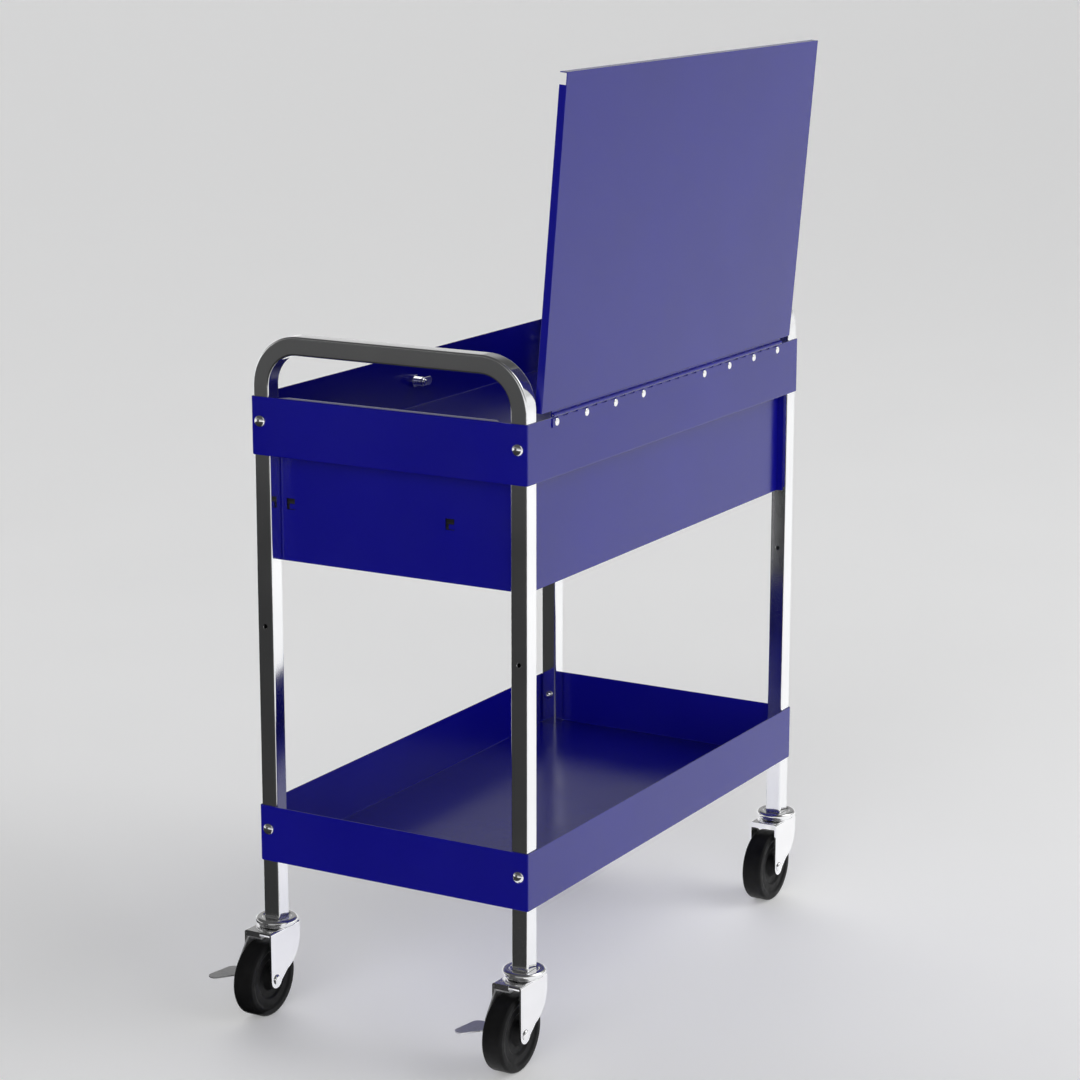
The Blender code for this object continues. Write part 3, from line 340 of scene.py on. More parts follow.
def chrome():
    """Bright plated tube: near mirror, with faint draw lines and haze."""
    s = Shader("chrome_finish")
    haze = s.noise(14.0, 5.0)
    s.feed("Base Color", s.ramp(haze, (0.3, (0.86, 0.865, 0.875)), (0.7, (0.92, 0.925, 0.93))))
    lines = s.noise(260.0, 3.0, 0.5, (1.0, 1.0, 0.02))
    s.feed("Roughness", s.spread(s.add(haze, lines, 0.3), 0.05, 0.13))
    s.bump(s.noise(55.0, 2.0), 0.03, 0.0001)
    s.set(Metallic=1.0)
    return s.material


def plated_steel():
    """Plated pressings and turned parts: a slightly softer mirror than the tube."""
    s = Shader("plated_steel_finish")
    cloud = s.noise(60.0, 4.0)
    s.feed("Base Color", s.ramp(cloud, (0.3, (0.88, 0.88, 0.885)), (0.7, (0.94, 0.94, 0.945))))
    s.feed("Roughness", s.spread(s.noise(180.0, 5.0), 0.08, 0.16))
    s.bump(s.noise(900.0, 3.0), 0.05, 0.00003)
    s.set(Metallic=1.0)
    return s.material


def zinc():
    """Dull zinc on levers, with a fine crystalline mottle."""
    s = Shader("zinc_finish")
    crystal = s.cells(320.0)
    s.feed("Base Color", s.ramp(crystal, (0.1, (0.74, 0.74, 0.75)), (0.9, (0.8, 0.8, 0.81))))
    s.feed("Roughness", s.spread(s.noise(90.0, 5.0), 0.38, 0.5))
    s.bump(s.noise(700.0, 3.0), 0.06, 0.00004)
    s.set(Metallic=1.0)
    return s.material


def black_coat():
    """Thin black coat on the rolled slide members, with rubbed tracks along them."""
    s = Shader("black_steel_finish")
    tracks = s.noise(300.0, 3.0, 0.5, (1.0, 0.02, 1.0))
    s.feed("Base Color", s.ramp(tracks, (0.4, (0.012, 0.012, 0.013)), (0.8, (0.05, 0.05, 0.052))))
    s.feed("Roughness", s.spread(s.noise(140.0, 4.0), 0.35, 0.5))
    s.bump(s.noise(900.0, 3.0), 0.15, 0.00005)
    s.set(Metallic=0.5)
    return s.material


def rubber():
    """Hard black tread rubber with a fine moulded grain and a dusty bloom."""
    s = Shader("black_rubber_finish")
    bloom = s.noise(45.0, 5.0)
    s.feed(
        "Base Color",
        s.ramp(bloom, (0.3, (0.004, 0.004, 0.0044)), (0.75, (0.009, 0.009, 0.0094))),
    )
    s.feed("Roughness", s.spread(s.noise(120.0, 4.0), 0.42, 0.58))
    s.bump(s.noise(1400.0, 3.0), 0.3, 0.00008)
    s.set(Specular_IOR_Level=0.12)
    return s.material


BLUE = blue_enamel()
CHROME = chrome()
STEEL = plated_steel()
ZINC = zinc()
BLACK = black_coat()
RUBBER = rubber()
FINISHES = {
    "blue_enamel": BLUE,
    "chrome": CHROME,
    "zinc_plate": ZINC,
    "black_steel": BLACK,
    "black_rubber": RUBBER,
}


def soft_shading(angle):
    """Modifier nodes that join a node's loose facets and shade them smooth up to an angle."""
    group = bpy.data.node_groups.new(f"soft_shading_{angle}", "GeometryNodeTree")
    group.interface.new_socket("Geometry", in_out="INPUT", socket_type="NodeSocketGeometry")
    group.interface.new_socket("Geometry", in_out="OUTPUT", socket_type="NodeSocketGeometry")
    start = group.nodes.new("NodeGroupInput")
    end = group.nodes.new("NodeGroupOutput")
    merge = group.nodes.new("GeometryNodeMergeByDistance")
    merge.inputs["Distance"].default_value = JOIN_DISTANCE
    faces = group.nodes.new("GeometryNodeSetShadeSmooth")
    faces.domain = "FACE"
    edges = group.nodes.new("GeometryNodeSetShadeSmooth")
    edges.domain = "EDGE"
    turned = group.nodes.new("GeometryNodeInputMeshEdgeAngle")
    small = group.nodes.new("FunctionNodeCompare")
    small.operation = "LESS_THAN"
    small.inputs["B"].default_value = math.radians(angle)
    for source, target in (
        (start.outputs[0], merge.inputs["Geometry"]),
        (merge.outputs["Geometry"], faces.inputs["Geometry"]),
        (faces.outputs["Geometry"], edges.inputs["Geometry"]),
        (turned.outputs["Unsigned Angle"], small.inputs["A"]),
        (small.outputs["Result"], edges.inputs["Shade Smooth"]),
        (edges.outputs["Geometry"], end.inputs[0]),
    ):
        group.links.new(source, target)
    return group


SOFT_SHADING = soft_shading(SMOOTH_ANGLE)


def ease_edges(obj, width):
    """Round an object's sharp edges a little, and keep its flats flat."""
    ease = obj.modifiers.new("ease", "BEVEL")
    ease.width = width
    ease.segments = 2
    ease.limit_method = "ANGLE"
    ease.angle_limit = math.radians(EASE_ANGLE)
    weigh = obj.modifiers.new("weighted", "WEIGHTED_NORMAL")
    weigh.keep_sharp = True


def dress(node, material):
    """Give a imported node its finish, smooth its facets and ease its edges."""
    obj = NODES[node]
    obj.data.materials.clear()
    obj.data.materials.append(material)
    soften = obj.modifiers.new("soft_shading", "NODES")
    soften.node_group = SOFT_SHADING
    flatten = obj.modifiers.new("flatten", "DECIMATE")
    flatten.decimate_type = "DISSOLVE"
    flatten.angle_limit = math.radians(FLAT_ANGLE)
    ease_edges(obj, NODE_EASE)


def new_piece(name, bm, material, body, *stands_for, slot=None, edge=None):
    """Turn a bmesh in world places into a piece that rides on a body."""
    bmesh.ops.recalc_face_normals(bm, faces=bm.faces)
    mesh = bpy.data.meshes.new(name)
    bm.to_mesh(mesh)
    bm.free()
    mesh.materials.append(material)
    mesh.shade_smooth()
    mesh.set_sharp_from_angle(angle=math.radians(SMOOTH_ANGLE))
    obj = bpy.data.objects.new(name, mesh)
    bpy.context.scene.collection.objects.link(obj)
    if edge:
        ease_edges(obj, edge)
    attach(obj, body)
    if stands_for:
        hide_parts(*stands_for)


def temporary(bm):
    """A bmesh as an object, for a modifier to work on."""
    mesh = bpy.data.meshes.new("temporary")
    bm.to_mesh(mesh)
    bm.free()
    obj = bpy.data.objects.new("temporary", mesh)
    bpy.context.scene.collection.objects.link(obj)
    return obj


def combine(bm, tool, operation):
    """Join a shape with another, keep what they share, or cut the other from it."""
    body = temporary(bm)
    other = temporary(tool)
    step = body.modifiers.new("combine", "BOOLEAN")
    step.operation = operation
    step.solver = "EXACT"
    step.object = other
    bpy.context.view_layer.update()
    graph = bpy.context.evaluated_depsgraph_get()
    mesh = bpy.data.meshes.new_from_object(body.evaluated_get(graph))
    made = bmesh.new()
    made.from_mesh(mesh)
    bmesh.ops.remove_doubles(made, verts=made.verts, dist=WELD_DISTANCE)
    bpy.data.meshes.remove(mesh)
    for obj in (body, other):
        bpy.data.objects.remove(obj, do_unlink=True)
    return made


def arc(centre, radius, start, end, steps):
    """Points on a circle in a plane, angles in degrees."""
    points = []
    for i in range(steps + 1):
        angle = math.radians(start + (end - start) * i / steps)
        points.append(
            (centre[0] + radius * math.cos(angle), centre[1] + radius * math.sin(angle))
        )
    return points


def dome(radius, seat, rise, steps=DOME_STEPS):
    """Profile of a dome for turning, from its tip on the axis to its edge."""
    sides = arc((0, 0), 1, 90, 0, steps)[1:]
    return [(0, seat + rise), *((radius * c, seat + rise * s) for c, s in sides)]


def turn(bm, profile, place=Matrix(), steps=64, closed=False):
    """Turn (radius, height) points about Z, then put the result in place."""
    rings = []
    for radius, height in profile:
        if radius < AXIS_DISTANCE:
            rings.append([bm.verts.new(place @ Vector((0, 0, height)))])
            continue
        circle = arc((0, 0), radius, 0, 360, steps)[:-1]
        rings.append([bm.verts.new(place @ Vector((x, y, height))) for x, y in circle])
    pairs = list(zip(rings, rings[1:]))
    if closed:
        pairs.append((rings[-1], rings[0]))
    for upper, lower in pairs:
        for i in range(steps):
            j = (i + 1) % steps
            corners = [
                upper[i % len(upper)],
                upper[j % len(upper)],
                lower[j % len(lower)],
                lower[i % len(lower)],
            ]
            bm.faces.new(list(dict.fromkeys(corners)))
    bmesh.ops.recalc_face_normals(bm, faces=bm.faces)
    return bm


def prism(points, drawn, bm=None):
    """A solid drawn from a closed flat outline along a vector."""
    bm = bm or bmesh.new()
    start = [bm.verts.new(point) for point in points]
    end = [bm.verts.new(Vector(point) + Vector(drawn)) for point in points]
    bm.faces.new(start)
    bm.faces.new(list(reversed(end)))
    for i in range(len(points)):
        j = (i + 1) % len(points)
        bm.faces.new((start[i], end[i], end[j], start[j]))
    bmesh.ops.recalc_face_normals(bm, faces=bm.faces)
    return bm


def rod(bm, start, end, radius, steps=32):
    """A straight round bar between two points."""
    start, end = Vector(start), Vector(end)
    span = end - start
    facing = Vector((0, 0, 1)).rotation_difference(span).to_matrix().to_4x4()
    profile = [(0, 0), (radius, 0), (radius, span.length), (0, span.length)]
    return turn(bm, profile, Matrix.Translation(start) @ facing, steps)


def rounded(points, radius, steps=4):
    """Fillet the inner corners of a line of points."""
    made = [points[0]]
    for before, corner, after in zip(points, points[1:], points[2:]):
        at = Vector(corner)
        into = Vector(before) - at
        out = Vector(after) - at
        reach = min(radius, into.length * ROUND_SHARE, out.length * ROUND_SHARE)
        first = at + into.normalized() * reach
        last = at + out.normalized() * reach
        for i in range(steps + 1):
            t = i / steps
            made.append(tuple((1 - t) ** 2 * first + 2 * t * (1 - t) * at + t**2 * last))
    made.append(points[-1])
    return made


def rounded_square(side, corner, steps):
    """Outline of a square with round corners, about its middle."""
    half = side / 2 - corner
    points = []
    for quarter, (sx, sy) in enumerate(((1, 1), (-1, 1), (-1, -1), (1, -1))):
        begin = 90 * quarter
        points += arc((sx * half, sy * half), corner, begin, begin + 90, steps)
    return points


def sweep(bm, path, section, x):
    """Draw a closed section along a path in the (Y, Z) plane, and give its end rings."""
    rings = []
    last = len(path) - 1
    for i, (y, z) in enumerate(path):
        along = Vector(path[min(i + 1, last)]) - Vector(path[max(i - 1, 0)])
        along.normalize()
        rings.append(
            [bm.verts.new((x + u, y - along.y * v, z + along.x * v)) for u, v in section]
        )
    for first, second in zip(rings, rings[1:]):
        for i in range(len(section)):
            j = (i + 1) % len(section)
            bm.faces.new((first[i], first[j], second[j], second[i]))
    return rings[0], rings[-1]


def centre_of(node):
    """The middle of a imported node's box."""
    low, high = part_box(node)
    return (low + high) / 2


def along_y(place):
    """Puts a shape that was turned about Z on an axis along Y through a place."""
    return Matrix.Translation(place) @ Matrix.Rotation(math.pi / 2, 4, "X")


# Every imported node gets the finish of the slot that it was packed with
for node, obj in NODES.items():
    slot_name = obj.data.materials[0].name.split(".")[0]
    dress(node, FINISHES[slot_name])


def build_frames():
    """Bent square tube with soft corners, open at the feet, with its cross holes."""
    for end in ENDS:
        node = f"end_frame_{end}"
        low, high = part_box(node)
        tube = high.x - low.x
        middle = (low + high) / 2
        leg = (high.y - low.y - tube) / 2
        top = high.z - tube / 2
        bend_y = leg - HANDLE_BEND
        bend_z = top - HANDLE_BEND
        path = [
            (middle.y - leg, low.z),
            *arc((middle.y - bend_y, bend_z), HANDLE_BEND, 180, 90, BEND_STEPS),
            *arc((middle.y + bend_y, bend_z), HANDLE_BEND, 90, 0, BEND_STEPS),
            (middle.y + leg, low.z),
        ]
        bm = bmesh.new()
        skin = rounded_square(tube, TUBE_CORNER, TUBE_CORNER_STEPS)
        outside = sweep(bm, path, skin, middle.x)
        bore_side = tube - 2 * TUBE_WALL
        bore = rounded_square(bore_side, TUBE_CORNER - TUBE_WALL, TUBE_CORNER_STEPS)
        inside = sweep(bm, path, bore, middle.x)
        for outer, inner in zip(outside, inside):
            for i in range(len(outer)):
                j = (i + 1) % len(outer)
                bm.faces.new((outer[i], outer[j], inner[j], inner[i]))
        bmesh.ops.recalc_face_normals(bm, faces=bm.faces)
        holes = bmesh.new()
        for side in ("front", "rear"):
            bolts = [centre_of(f"tray_bolt_{level}_{end}_{side}") for level in LEVELS]
            places = [(bolt.z, BOLT_RADIUS + FIT) for bolt in bolts]
            places.append((low.z + SPARE_HOLE_RISE, SPARE_HOLE_RADIUS))
            for z, radius in places:
                y = bolts[0].y
                rod(holes, (middle.x - tube, y, z), (middle.x + tube, y, z), radius)
        bm = combine(bm, holes, "DIFFERENCE")
        new_piece(f"tube_{node}", bm, CHROME, "cart", node, slot="chrome", edge=TUBE_EASE)


def fork_body(braked_at):
    """One folded fork about its swivel axis, trimmed to its side view."""
    trail = AXLES["a_rear"] - SWIVELS["a_rear"]
    axle_z = AXLES["a_rear"].z
    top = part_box("caster_fork_a_rear")[1].z - RACE_RISE
    front = trail.x + FORK_END_RADIUS
    half = FORK_HALF_WIDTH
    sheet = FORK_SHEET
    foot = axle_z - 2 * FORK_END_RADIUS
    left = (-half + FORK_FOLD, top - FORK_FOLD)
    right = (half - FORK_FOLD, top - FORK_FOLD)
    section = [
        (-half, foot),
        *arc(left, FORK_FOLD, 180, 90, FOLD_STEPS),
        *arc(right, FORK_FOLD, 90, 0, FOLD_STEPS),
        (half, foot),
        (half - sheet, foot),
        *arc(right, FORK_FOLD - sheet, 0, 90, FOLD_STEPS),
        *arc(left, FORK_FOLD - sheet, 90, 180, FOLD_STEPS),
        (-half + sheet, foot),
    ]
    back_x = -FORK_BACK - sheet
    folded = prism([(back_x, y, z) for y, z in section], (front + sheet - back_x, 0, 0))
    sweep_at = (-FORK_BACK + FORK_SWEEP_RADIUS, top - FORK_SWEEP_DROP)
    side_view = [
        (front, top + sheet),
        *arc((trail.x, axle_z), FORK_END_RADIUS, *FORK_END_ARC, FORK_END_STEPS),
        *arc(sweep_at, FORK_SWEEP_RADIUS, *FORK_SWEEP_ARC, FORK_SWEEP_STEPS),
        (-FORK_BACK, top + sheet),
    ]
    trim = prism([(x, -2 * half, z) for x, z in side_view], (0, 4 * half, 0))
    fork = combine(folded, trim, "INTERSECT")
    slope = [
        (RACE_RADIUS - 2 * RACE_RISE, top + RACE_RISE),
        (RACE_RADIUS - RACE_RISE, top + RACE_RISE),
        (RACE_RADIUS, top),
        (RACE_RADIUS, top - sheet / 2),
    ]
    race = [(0, top + RACE_RISE), *rounded(slope, RACE_ROUND), (0, top - sheet / 2)]
    fork = combine(fork, turn(bmesh.new(), race), "UNION")
    lip = [
        (front + SEAM - sheet, -half + FORK_FOLD, top - FORK_LIP_DROP),
        (front + SEAM, -half + FORK_FOLD, top - FORK_LIP_DROP),
        (front + SEAM, -half + FORK_FOLD, top - SEAM),
        (front + SEAM - sheet, -half + FORK_FOLD, top - SEAM),
    ]
    fork = combine(fork, prism(lip, (0, half - FORK_FOLD + FORK_LIP_INNER, 0)), "UNION")
    holes = bmesh.new()
    rod(holes, (0, 0, top - 2 * sheet), (0, 0, top + 2 * RACE_RISE), KINGPIN_RADIUS + FIT)
    axle = (trail.x, 2 * half, axle_z)
    rod(holes, axle, (trail.x, -2 * half, axle_z), AXLE_RADIUS + FIT)
    if braked_at:
        x, z = braked_at
        rod(holes, (x, -2 * half, z), (x, 0, z), BRAKE_PIN_RADIUS + FIT)
    return combine(fork, holes, "DIFFERENCE")


def build_forks():
    """Folded caster forks, the braked ones with a hole for the lever's pin."""
    pivot = Vector(JOINTS["brake_press_a_rear"]["pos_m"]) - SWIVELS["a_rear"]
    braked_at = (pivot.x, pivot.z + SWIVELS["a_rear"].z)
    for end in ENDS:
        body = fork_body(braked_at if end == "a" else None)
        for side in ("front", "rear"):
            corner = f"{end}_{side}"
            node = f"caster_fork_{corner}"
            bm = body.copy()
            swivel = SWIVELS[corner]
            bmesh.ops.translate(bm, vec=(swivel.x, swivel.y, 0), verts=bm.verts)
            name = f"fork_{corner}"
            rides_on = f"swivel_{corner}"
            new_piece(name, bm, STEEL, rides_on, node, slot="chrome", edge=FORK_EASE)
        body.free()


def build_caps():
    """Fixed upper races: a rolled rim round a dished seat, with stem and king pin."""
    for corner in CORNERS:
        node = f"caster_cap_{corner}"
        low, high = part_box(node)
        seat = high.z - CAP_STEM_LENGTH
        under = seat - CAP_HEIGHT
        outer = (high.x - low.x) / 2
        shoulder_in, shoulder_drop = [share * CAP_RIM_RISE for share in CAP_SHOULDER_SHARES]
        rim = [
            (CAP_STEM_RADIUS, seat),
            (CAP_SEAT_RADIUS, seat),
            (CAP_SEAT_RADIUS + CAP_RIM_RISE, seat + CAP_RIM_RISE),
            (outer - shoulder_in, seat + CAP_RIM_RISE),
            (outer, seat - shoulder_drop),
            (outer, under + CAP_RIM_RISE),
            (outer - CAP_RIM_RISE / 2, under),
            (KINGPIN_RADIUS, under),
        ]
        head = low.z + KINGPIN_HEAD
        profile = [
            (0, high.z),
            (CAP_STEM_RADIUS, high.z),
            *rounded(rim, CAP_ROUND, CAP_ROUND_STEPS),
            (KINGPIN_RADIUS, head),
            (KINGPIN_HEAD_RADIUS, head),
            (KINGPIN_HEAD_RADIUS, low.z),
            (0, low.z),
        ]
        swivel = SWIVELS[corner]
        place = Matrix.Translation((swivel.x, swivel.y, 0))
        bm = turn(bmesh.new(), profile, place, CAP_STEPS)
        new_piece(f"race_{corner}", bm, STEEL, "cart", node, slot="chrome")


def build_wheels():
    """Wheels with a rounded tread, two sunk rings and a hub collar on each face."""
    for corner in CORNERS:
        name = f"wheel_{corner}"
        low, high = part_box(name)
        radius = (high.z - low.z) / 2
        hub = (high.y - low.y) / 2
        face = WHEEL_HALF_WIDTH
        band, step_one, ring, step_two, web = [radius * share for share in WHEEL_STEP_SHARES]
        shallow = face - WHEEL_STEP_DEPTHS[0]
        deep = face - WHEEL_STEP_DEPTHS[1]
        half = [
            (AXLE_RADIUS + BORE_PLAY, hub),
            (WHEEL_HUB_RADIUS, hub),
            (web, deep),
            (step_two, deep),
            (ring, shallow),
            (step_one, shallow),
            (band, face),
            (radius - WHEEL_EDGE, face),
            (radius, face - WHEEL_EDGE),
            (radius, FIT),
        ]
        half = rounded(half, WHEEL_ROUND)
        profile = half + [(r, -h) for r, h in reversed(half)]
        bm = turn(bmesh.new(), profile, along_y(AXLES[corner]), WHEEL_STEPS, closed=True)
        new_piece(f"tyre_{corner}", bm, RUBBER, name, name, slot="black_rubber")


def build_axles():
    """Riveted axle ends with a shallow dome on each side of the fork."""
    for corner in CORNERS:
        node = f"axle_{corner}"
        low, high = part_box(node)
        radius = (high.z - low.z) / 2
        end = (high.y - low.y) / 2
        seat = end - AXLE_HEAD
        half = [*dome(radius, seat, AXLE_HEAD), (AXLE_RADIUS, seat)]
        profile = half + [(r, -h) for r, h in reversed(half)]
        bm = turn(bmesh.new(), profile, along_y(AXLES[corner]), PIN_STEPS)
        new_piece(f"axle_pin_{corner}", bm, STEEL, f"swivel_{corner}", node, slot="zinc_plate")


def build_bolts():
    """Dome headed tray bolts with dome nuts inside the legs."""
    for level in LEVELS:
        for corner in CORNERS:
            node = f"tray_bolt_{level}_{corner}"
            low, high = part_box(node)
            outward = ENDS[corner[0]]
            head_radius = (high.z - low.z) / 2
            head_seat = -BOLT_HEAD
            nut_seat = low.x - high.x + NUT_HEIGHT
            nut = dome(NUT_RADIUS, nut_seat - NUT_SKIRT, NUT_SKIRT - NUT_HEIGHT)
            profile = [
                *dome(head_radius, head_seat, BOLT_HEAD, BOLT_DOME_STEPS),
                (BOLT_RADIUS, head_seat),
                (BOLT_RADIUS, nut_seat),
                (NUT_RADIUS, nut_seat),
                *reversed(nut),
            ]
            middle = centre_of(node)
            tip = Vector((high.x if outward > 0 else low.x, middle.y, middle.z))
            place = Matrix.Translation(tip) @ Matrix.Rotation(outward * math.pi / 2, 4, "Y")
            bm = turn(bmesh.new(), profile, place, PIN_STEPS)
            new_piece(f"dome_{node}", bm, CHROME, "cart", node, slot="zinc_plate")


def knuckle(neck_low, neck_high, neck_end):
    """A knuckle's outline round the hinge axis, with a neck along its first axis."""
    radius = HINGE_BARREL_RADIUS
    start = math.degrees(math.asin(neck_high / radius))
    finish = math.degrees(math.asin(neck_low / radius)) + 360
    loop = arc((0, 0), radius, start, finish, KNUCKLE_STEPS)
    return [*loop, (neck_end, neck_low), (neck_end, neck_high)]


def hinge_leaf(length, first, outline, leaf):
    """A flat leaf and its row of knuckles, bored for the pin, about the hinge axis."""
    pairs = round(length / (2 * HINGE_PITCH))
    pitch = length / (2 * pairs)
    knuckles = bmesh.new()
    for i in range(pairs):
        x = -length / 2 + (2 * i + first) * pitch + FIT / 2
        prism([(x, y, z) for y, z in outline], (pitch - FIT, 0, 0), knuckles)
    ends = ((-length, 0, 0), (length, 0, 0))
    bore = rod(bmesh.new(), *ends, HINGE_BORE_RADIUS, BORE_STEPS)
    knuckles = combine(knuckles, bore, "DIFFERENCE")
    (y0, z0), (y1, z1) = leaf
    corners = [(-length / 2, y, z) for y, z in ((y0, z0), (y1, z0), (y1, z1), (y0, z1))]
    return combine(knuckles, prism(corners, (length, 0, 0)), "UNION")


def build_hinge():
    """Piano hinge leaves with round knuckles, one on the tray and one on the lid."""
    low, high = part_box("hinge_leaf_tray")
    length = high.x - low.x
    notch = HINGE_KNUCKLE_RADIUS + HINGE_NOTCH_GAP
    edge = HINGE_BARREL_RADIUS + TRAY_LEAF_NOTCH
    neck = HINGE_LEAF / 2 - SEAM / 4
    outline = [(y, -x) for x, y in knuckle(-neck, neck, edge + HINGE_LEAF)]
    leaf = ((-HINGE_LEAF / 2, -notch - TRAY_LEAF_HEIGHT), (HINGE_LEAF / 2, -edge))
    bm = hinge_leaf(length, 0, outline, leaf)
    bm.transform(Matrix.Translation(HINGE_AXIS))
    name = "hinge_leaf_tray"
    new_piece(f"fine_{name}", bm, BLUE, "cart", name, slot="blue_enamel")

    outer = HINGE_KNUCKLE_RADIUS
    raised = knuckle(outer - HINGE_LEAF + SEAM / 2, outer - SEAM / 2, notch + HINGE_LEAF)
    outline = [(-y, x) for x, y in raised]
    leaf = ((-outer, notch), (-outer + HINGE_LEAF, LID_LEAF_END))
    bm = hinge_leaf(length, 1, outline, leaf)
    lean = Matrix.Rotation(-LID_LEAN, 4, "X")
    bm.transform(Matrix.Translation(HINGE_AXIS) @ lean)
    name = "hinge_leaf_lid"
    new_piece(f"fine_{name}", bm, BLUE, "lid", name, slot="blue_enamel")


def build_rivets():
    """Rivets through the hinge's tray leaf, four on each half."""
    low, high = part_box("hinge_leaf_tray")
    middle = (low.x + high.x) / 2
    face = HINGE_AXIS.y + HINGE_LEAF / 2
    profile = [*dome(RIVET_RADIUS, 0, RIVET_RISE), (RIVET_RADIUS, -SEAM), (0, -SEAM)]
    for half, side in ENDS.items():
        for number, offset in enumerate(RIVET_X, 1):
            place = Vector((middle + side * offset, face, high.z - RIVET_DROP))
            turn_to = Matrix.Translation(place) @ Matrix.Rotation(-math.pi / 2, 4, "X")
            bm = turn(bmesh.new(), profile, turn_to, SMALL_STEPS)
            new_piece(f"hinge_rivet_{half}_{number}", bm, STEEL, "cart", slot="chrome")


def build_lock():
    """The lock's barrel, with a rounded flange and thread turns along its body."""
    node = "lock_barrel"
    low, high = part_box(node)
    flange = (high.x - low.x) / 2
    front = low.y
    seat = front + LOCK_FLANGE
    pitch = LOCK_THREAD
    thread = []
    turns = int((high.y - seat - pitch) / pitch)
    for i in range(turns):
        y = high.y - pitch / 2 - i * pitch
        thread += [(LOCK_BARREL_RADIUS, y), (LOCK_BARREL_RADIUS - pitch / 2, y - pitch / 2)]
    face = [
        (LOCK_BARREL_RADIUS, seat),
        (flange, seat),
        (flange, front + LOCK_FLANGE_TAPER),
        (flange - LOCK_FLANGE_TAPER, front),
        (LOCK_BORE_RADIUS, front),
    ]
    profile = [(LOCK_BORE_RADIUS, high.y), *thread, *rounded(face, LOCK_ROUND)]
    middle = centre_of(node)
    place = Matrix.Translation((middle.x, 0, middle.z)) @ Matrix.Rotation(-math.pi / 2, 4, "X")
    bm = turn(bmesh.new(), profile, place, LOCK_STEPS, closed=True)
    new_piece("fine_lock_barrel", bm, CHROME, "cart", node, slot="chrome")


def build_cam_screw():
    """The slotted screw that holds the cam on the inner end of the lock's plug."""
    axis = Vector(JOINTS["lock_turn"]["pos_m"])
    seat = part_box("lock_plug")[1].y
    skirt = CAM_SCREW_RISE / 2
    profile = [
        *dome(CAM_SCREW_RADIUS, skirt, skirt),
        (CAM_SCREW_RADIUS, -SEAM),
        (0, -SEAM),
    ]
    place = Matrix.Translation((axis.x, seat, axis.z)) @ Matrix.Rotation(-math.pi / 2, 4, "X")
    head = turn(bmesh.new(), profile, place, SMALL_STEPS)
    half = CAM_SCREW_SLOT_WIDTH / 2
    reach = 2 * CAM_SCREW_RADIUS
    near = seat + CAM_SCREW_RISE - CAM_SCREW_SLOT_DEPTH
    far = seat + 2 * CAM_SCREW_RISE
    corners = ((-half, near), (half, near), (half, far), (-half, far))
    slot = prism([(axis.x + x, y, axis.z - reach) for x, y in corners], (0, 0, 2 * reach))
    head = combine(head, slot, "DIFFERENCE")
    new_piece("lock_cam_screw", head, STEEL, "lock_plug", slot="chrome")


build_frames()
build_forks()
build_caps()
build_wheels()
build_axles()
build_bolts()
build_hinge()
build_rivets()
build_lock()
build_cam_screw()


def math_node(tree, operation, first, second):
    """The result of a sum on two values, each a socket or a number."""
    made = tree.nodes.new("ShaderNodeMath")
    made.operation = operation
    for target, value in zip(made.inputs, (first, second)):
        if isinstance(value, (int, float)):
            target.default_value = value
        else:
            tree.links.new(value, target)
    return made.outputs["Value"]


def ray_kinds(tree):
    """Two values: 1 for camera rays, and 1 for the rays that metal and glass see by."""
    path = tree.nodes.new("ShaderNodeLightPath")
    mirrored = math_node(
        tree, "MAXIMUM", path.outputs["Is Glossy Ray"], path.outputs["Is Transmission Ray"]
    )
    return path.outputs["Is Camera Ray"], mirrored


def either(tree, factor, plain, special):
    """The plain value, or the special one where the factor is 1."""
    choice = tree.nodes.new("ShaderNodeMix")
    tree.links.new(factor, choice.inputs["Factor"])
    for name, value in (("A", plain), ("B", special)):
        if isinstance(value, (int, float)):
            choice.inputs[name].default_value = value
        else:
            tree.links.new(value, choice.inputs[name])
    return choice.outputs["Result"]


def fade(tree, source, start, end, low, high):
    """A value that eases from one level to another as its source rises."""
    level = tree.nodes.new("ShaderNodeMapRange")
    level.interpolation_type = "SMOOTHSTEP"
    level.inputs["From Min"].default_value = start
    level.inputs["From Max"].default_value = end
    level.inputs["To Min"].default_value = low
    level.inputs["To Max"].default_value = high
    tree.links.new(source, level.inputs["Value"])
    return level.outputs["Result"]


def stage_sheet(name, finish, size, place=(0, 0, 0), rotation=(0, 0, 0)):
    """A flat sheet that isn't part of the cart, with its half sizes in metres."""
    bm = bmesh.new()
    bmesh.ops.create_grid(bm, x_segments=2, y_segments=2, size=1)
    bmesh.ops.scale(bm, vec=(*size, 1), verts=bm.verts)
    mesh = bpy.data.meshes.new(name)
    bm.to_mesh(mesh)
    bm.free()
    mesh.materials.append(finish)
    sheet = bpy.data.objects.new(name, mesh)
    sheet.location = place
    sheet.rotation_euler = rotation
    bpy.context.scene.collection.objects.link(sheet)
    return sheet


def pale_floor():
    """A pale floor, with a glow that only the camera and reflections see."""
    s = Shader("pale_floor")
    tone = s.noise(3.0, 3.0)
    s.feed("Base Color", s.ramp(tone, (0.3, (0.80, 0.80, 0.805)), (0.7, (0.82, 0.82, 0.825))))
    s.set(Roughness=0.7, Emission_Color=(1, 1, 1, 1))
    camera_rays, mirrored_rays = ray_kinds(s.tree)
    reflected = either(s.tree, mirrored_rays, 0.0, FLOOR_GLOW_MIRRORED)
    s.feed("Emission Strength", either(s.tree, camera_rays, reflected, FLOOR_GLOW_SEEN))
    return s.material


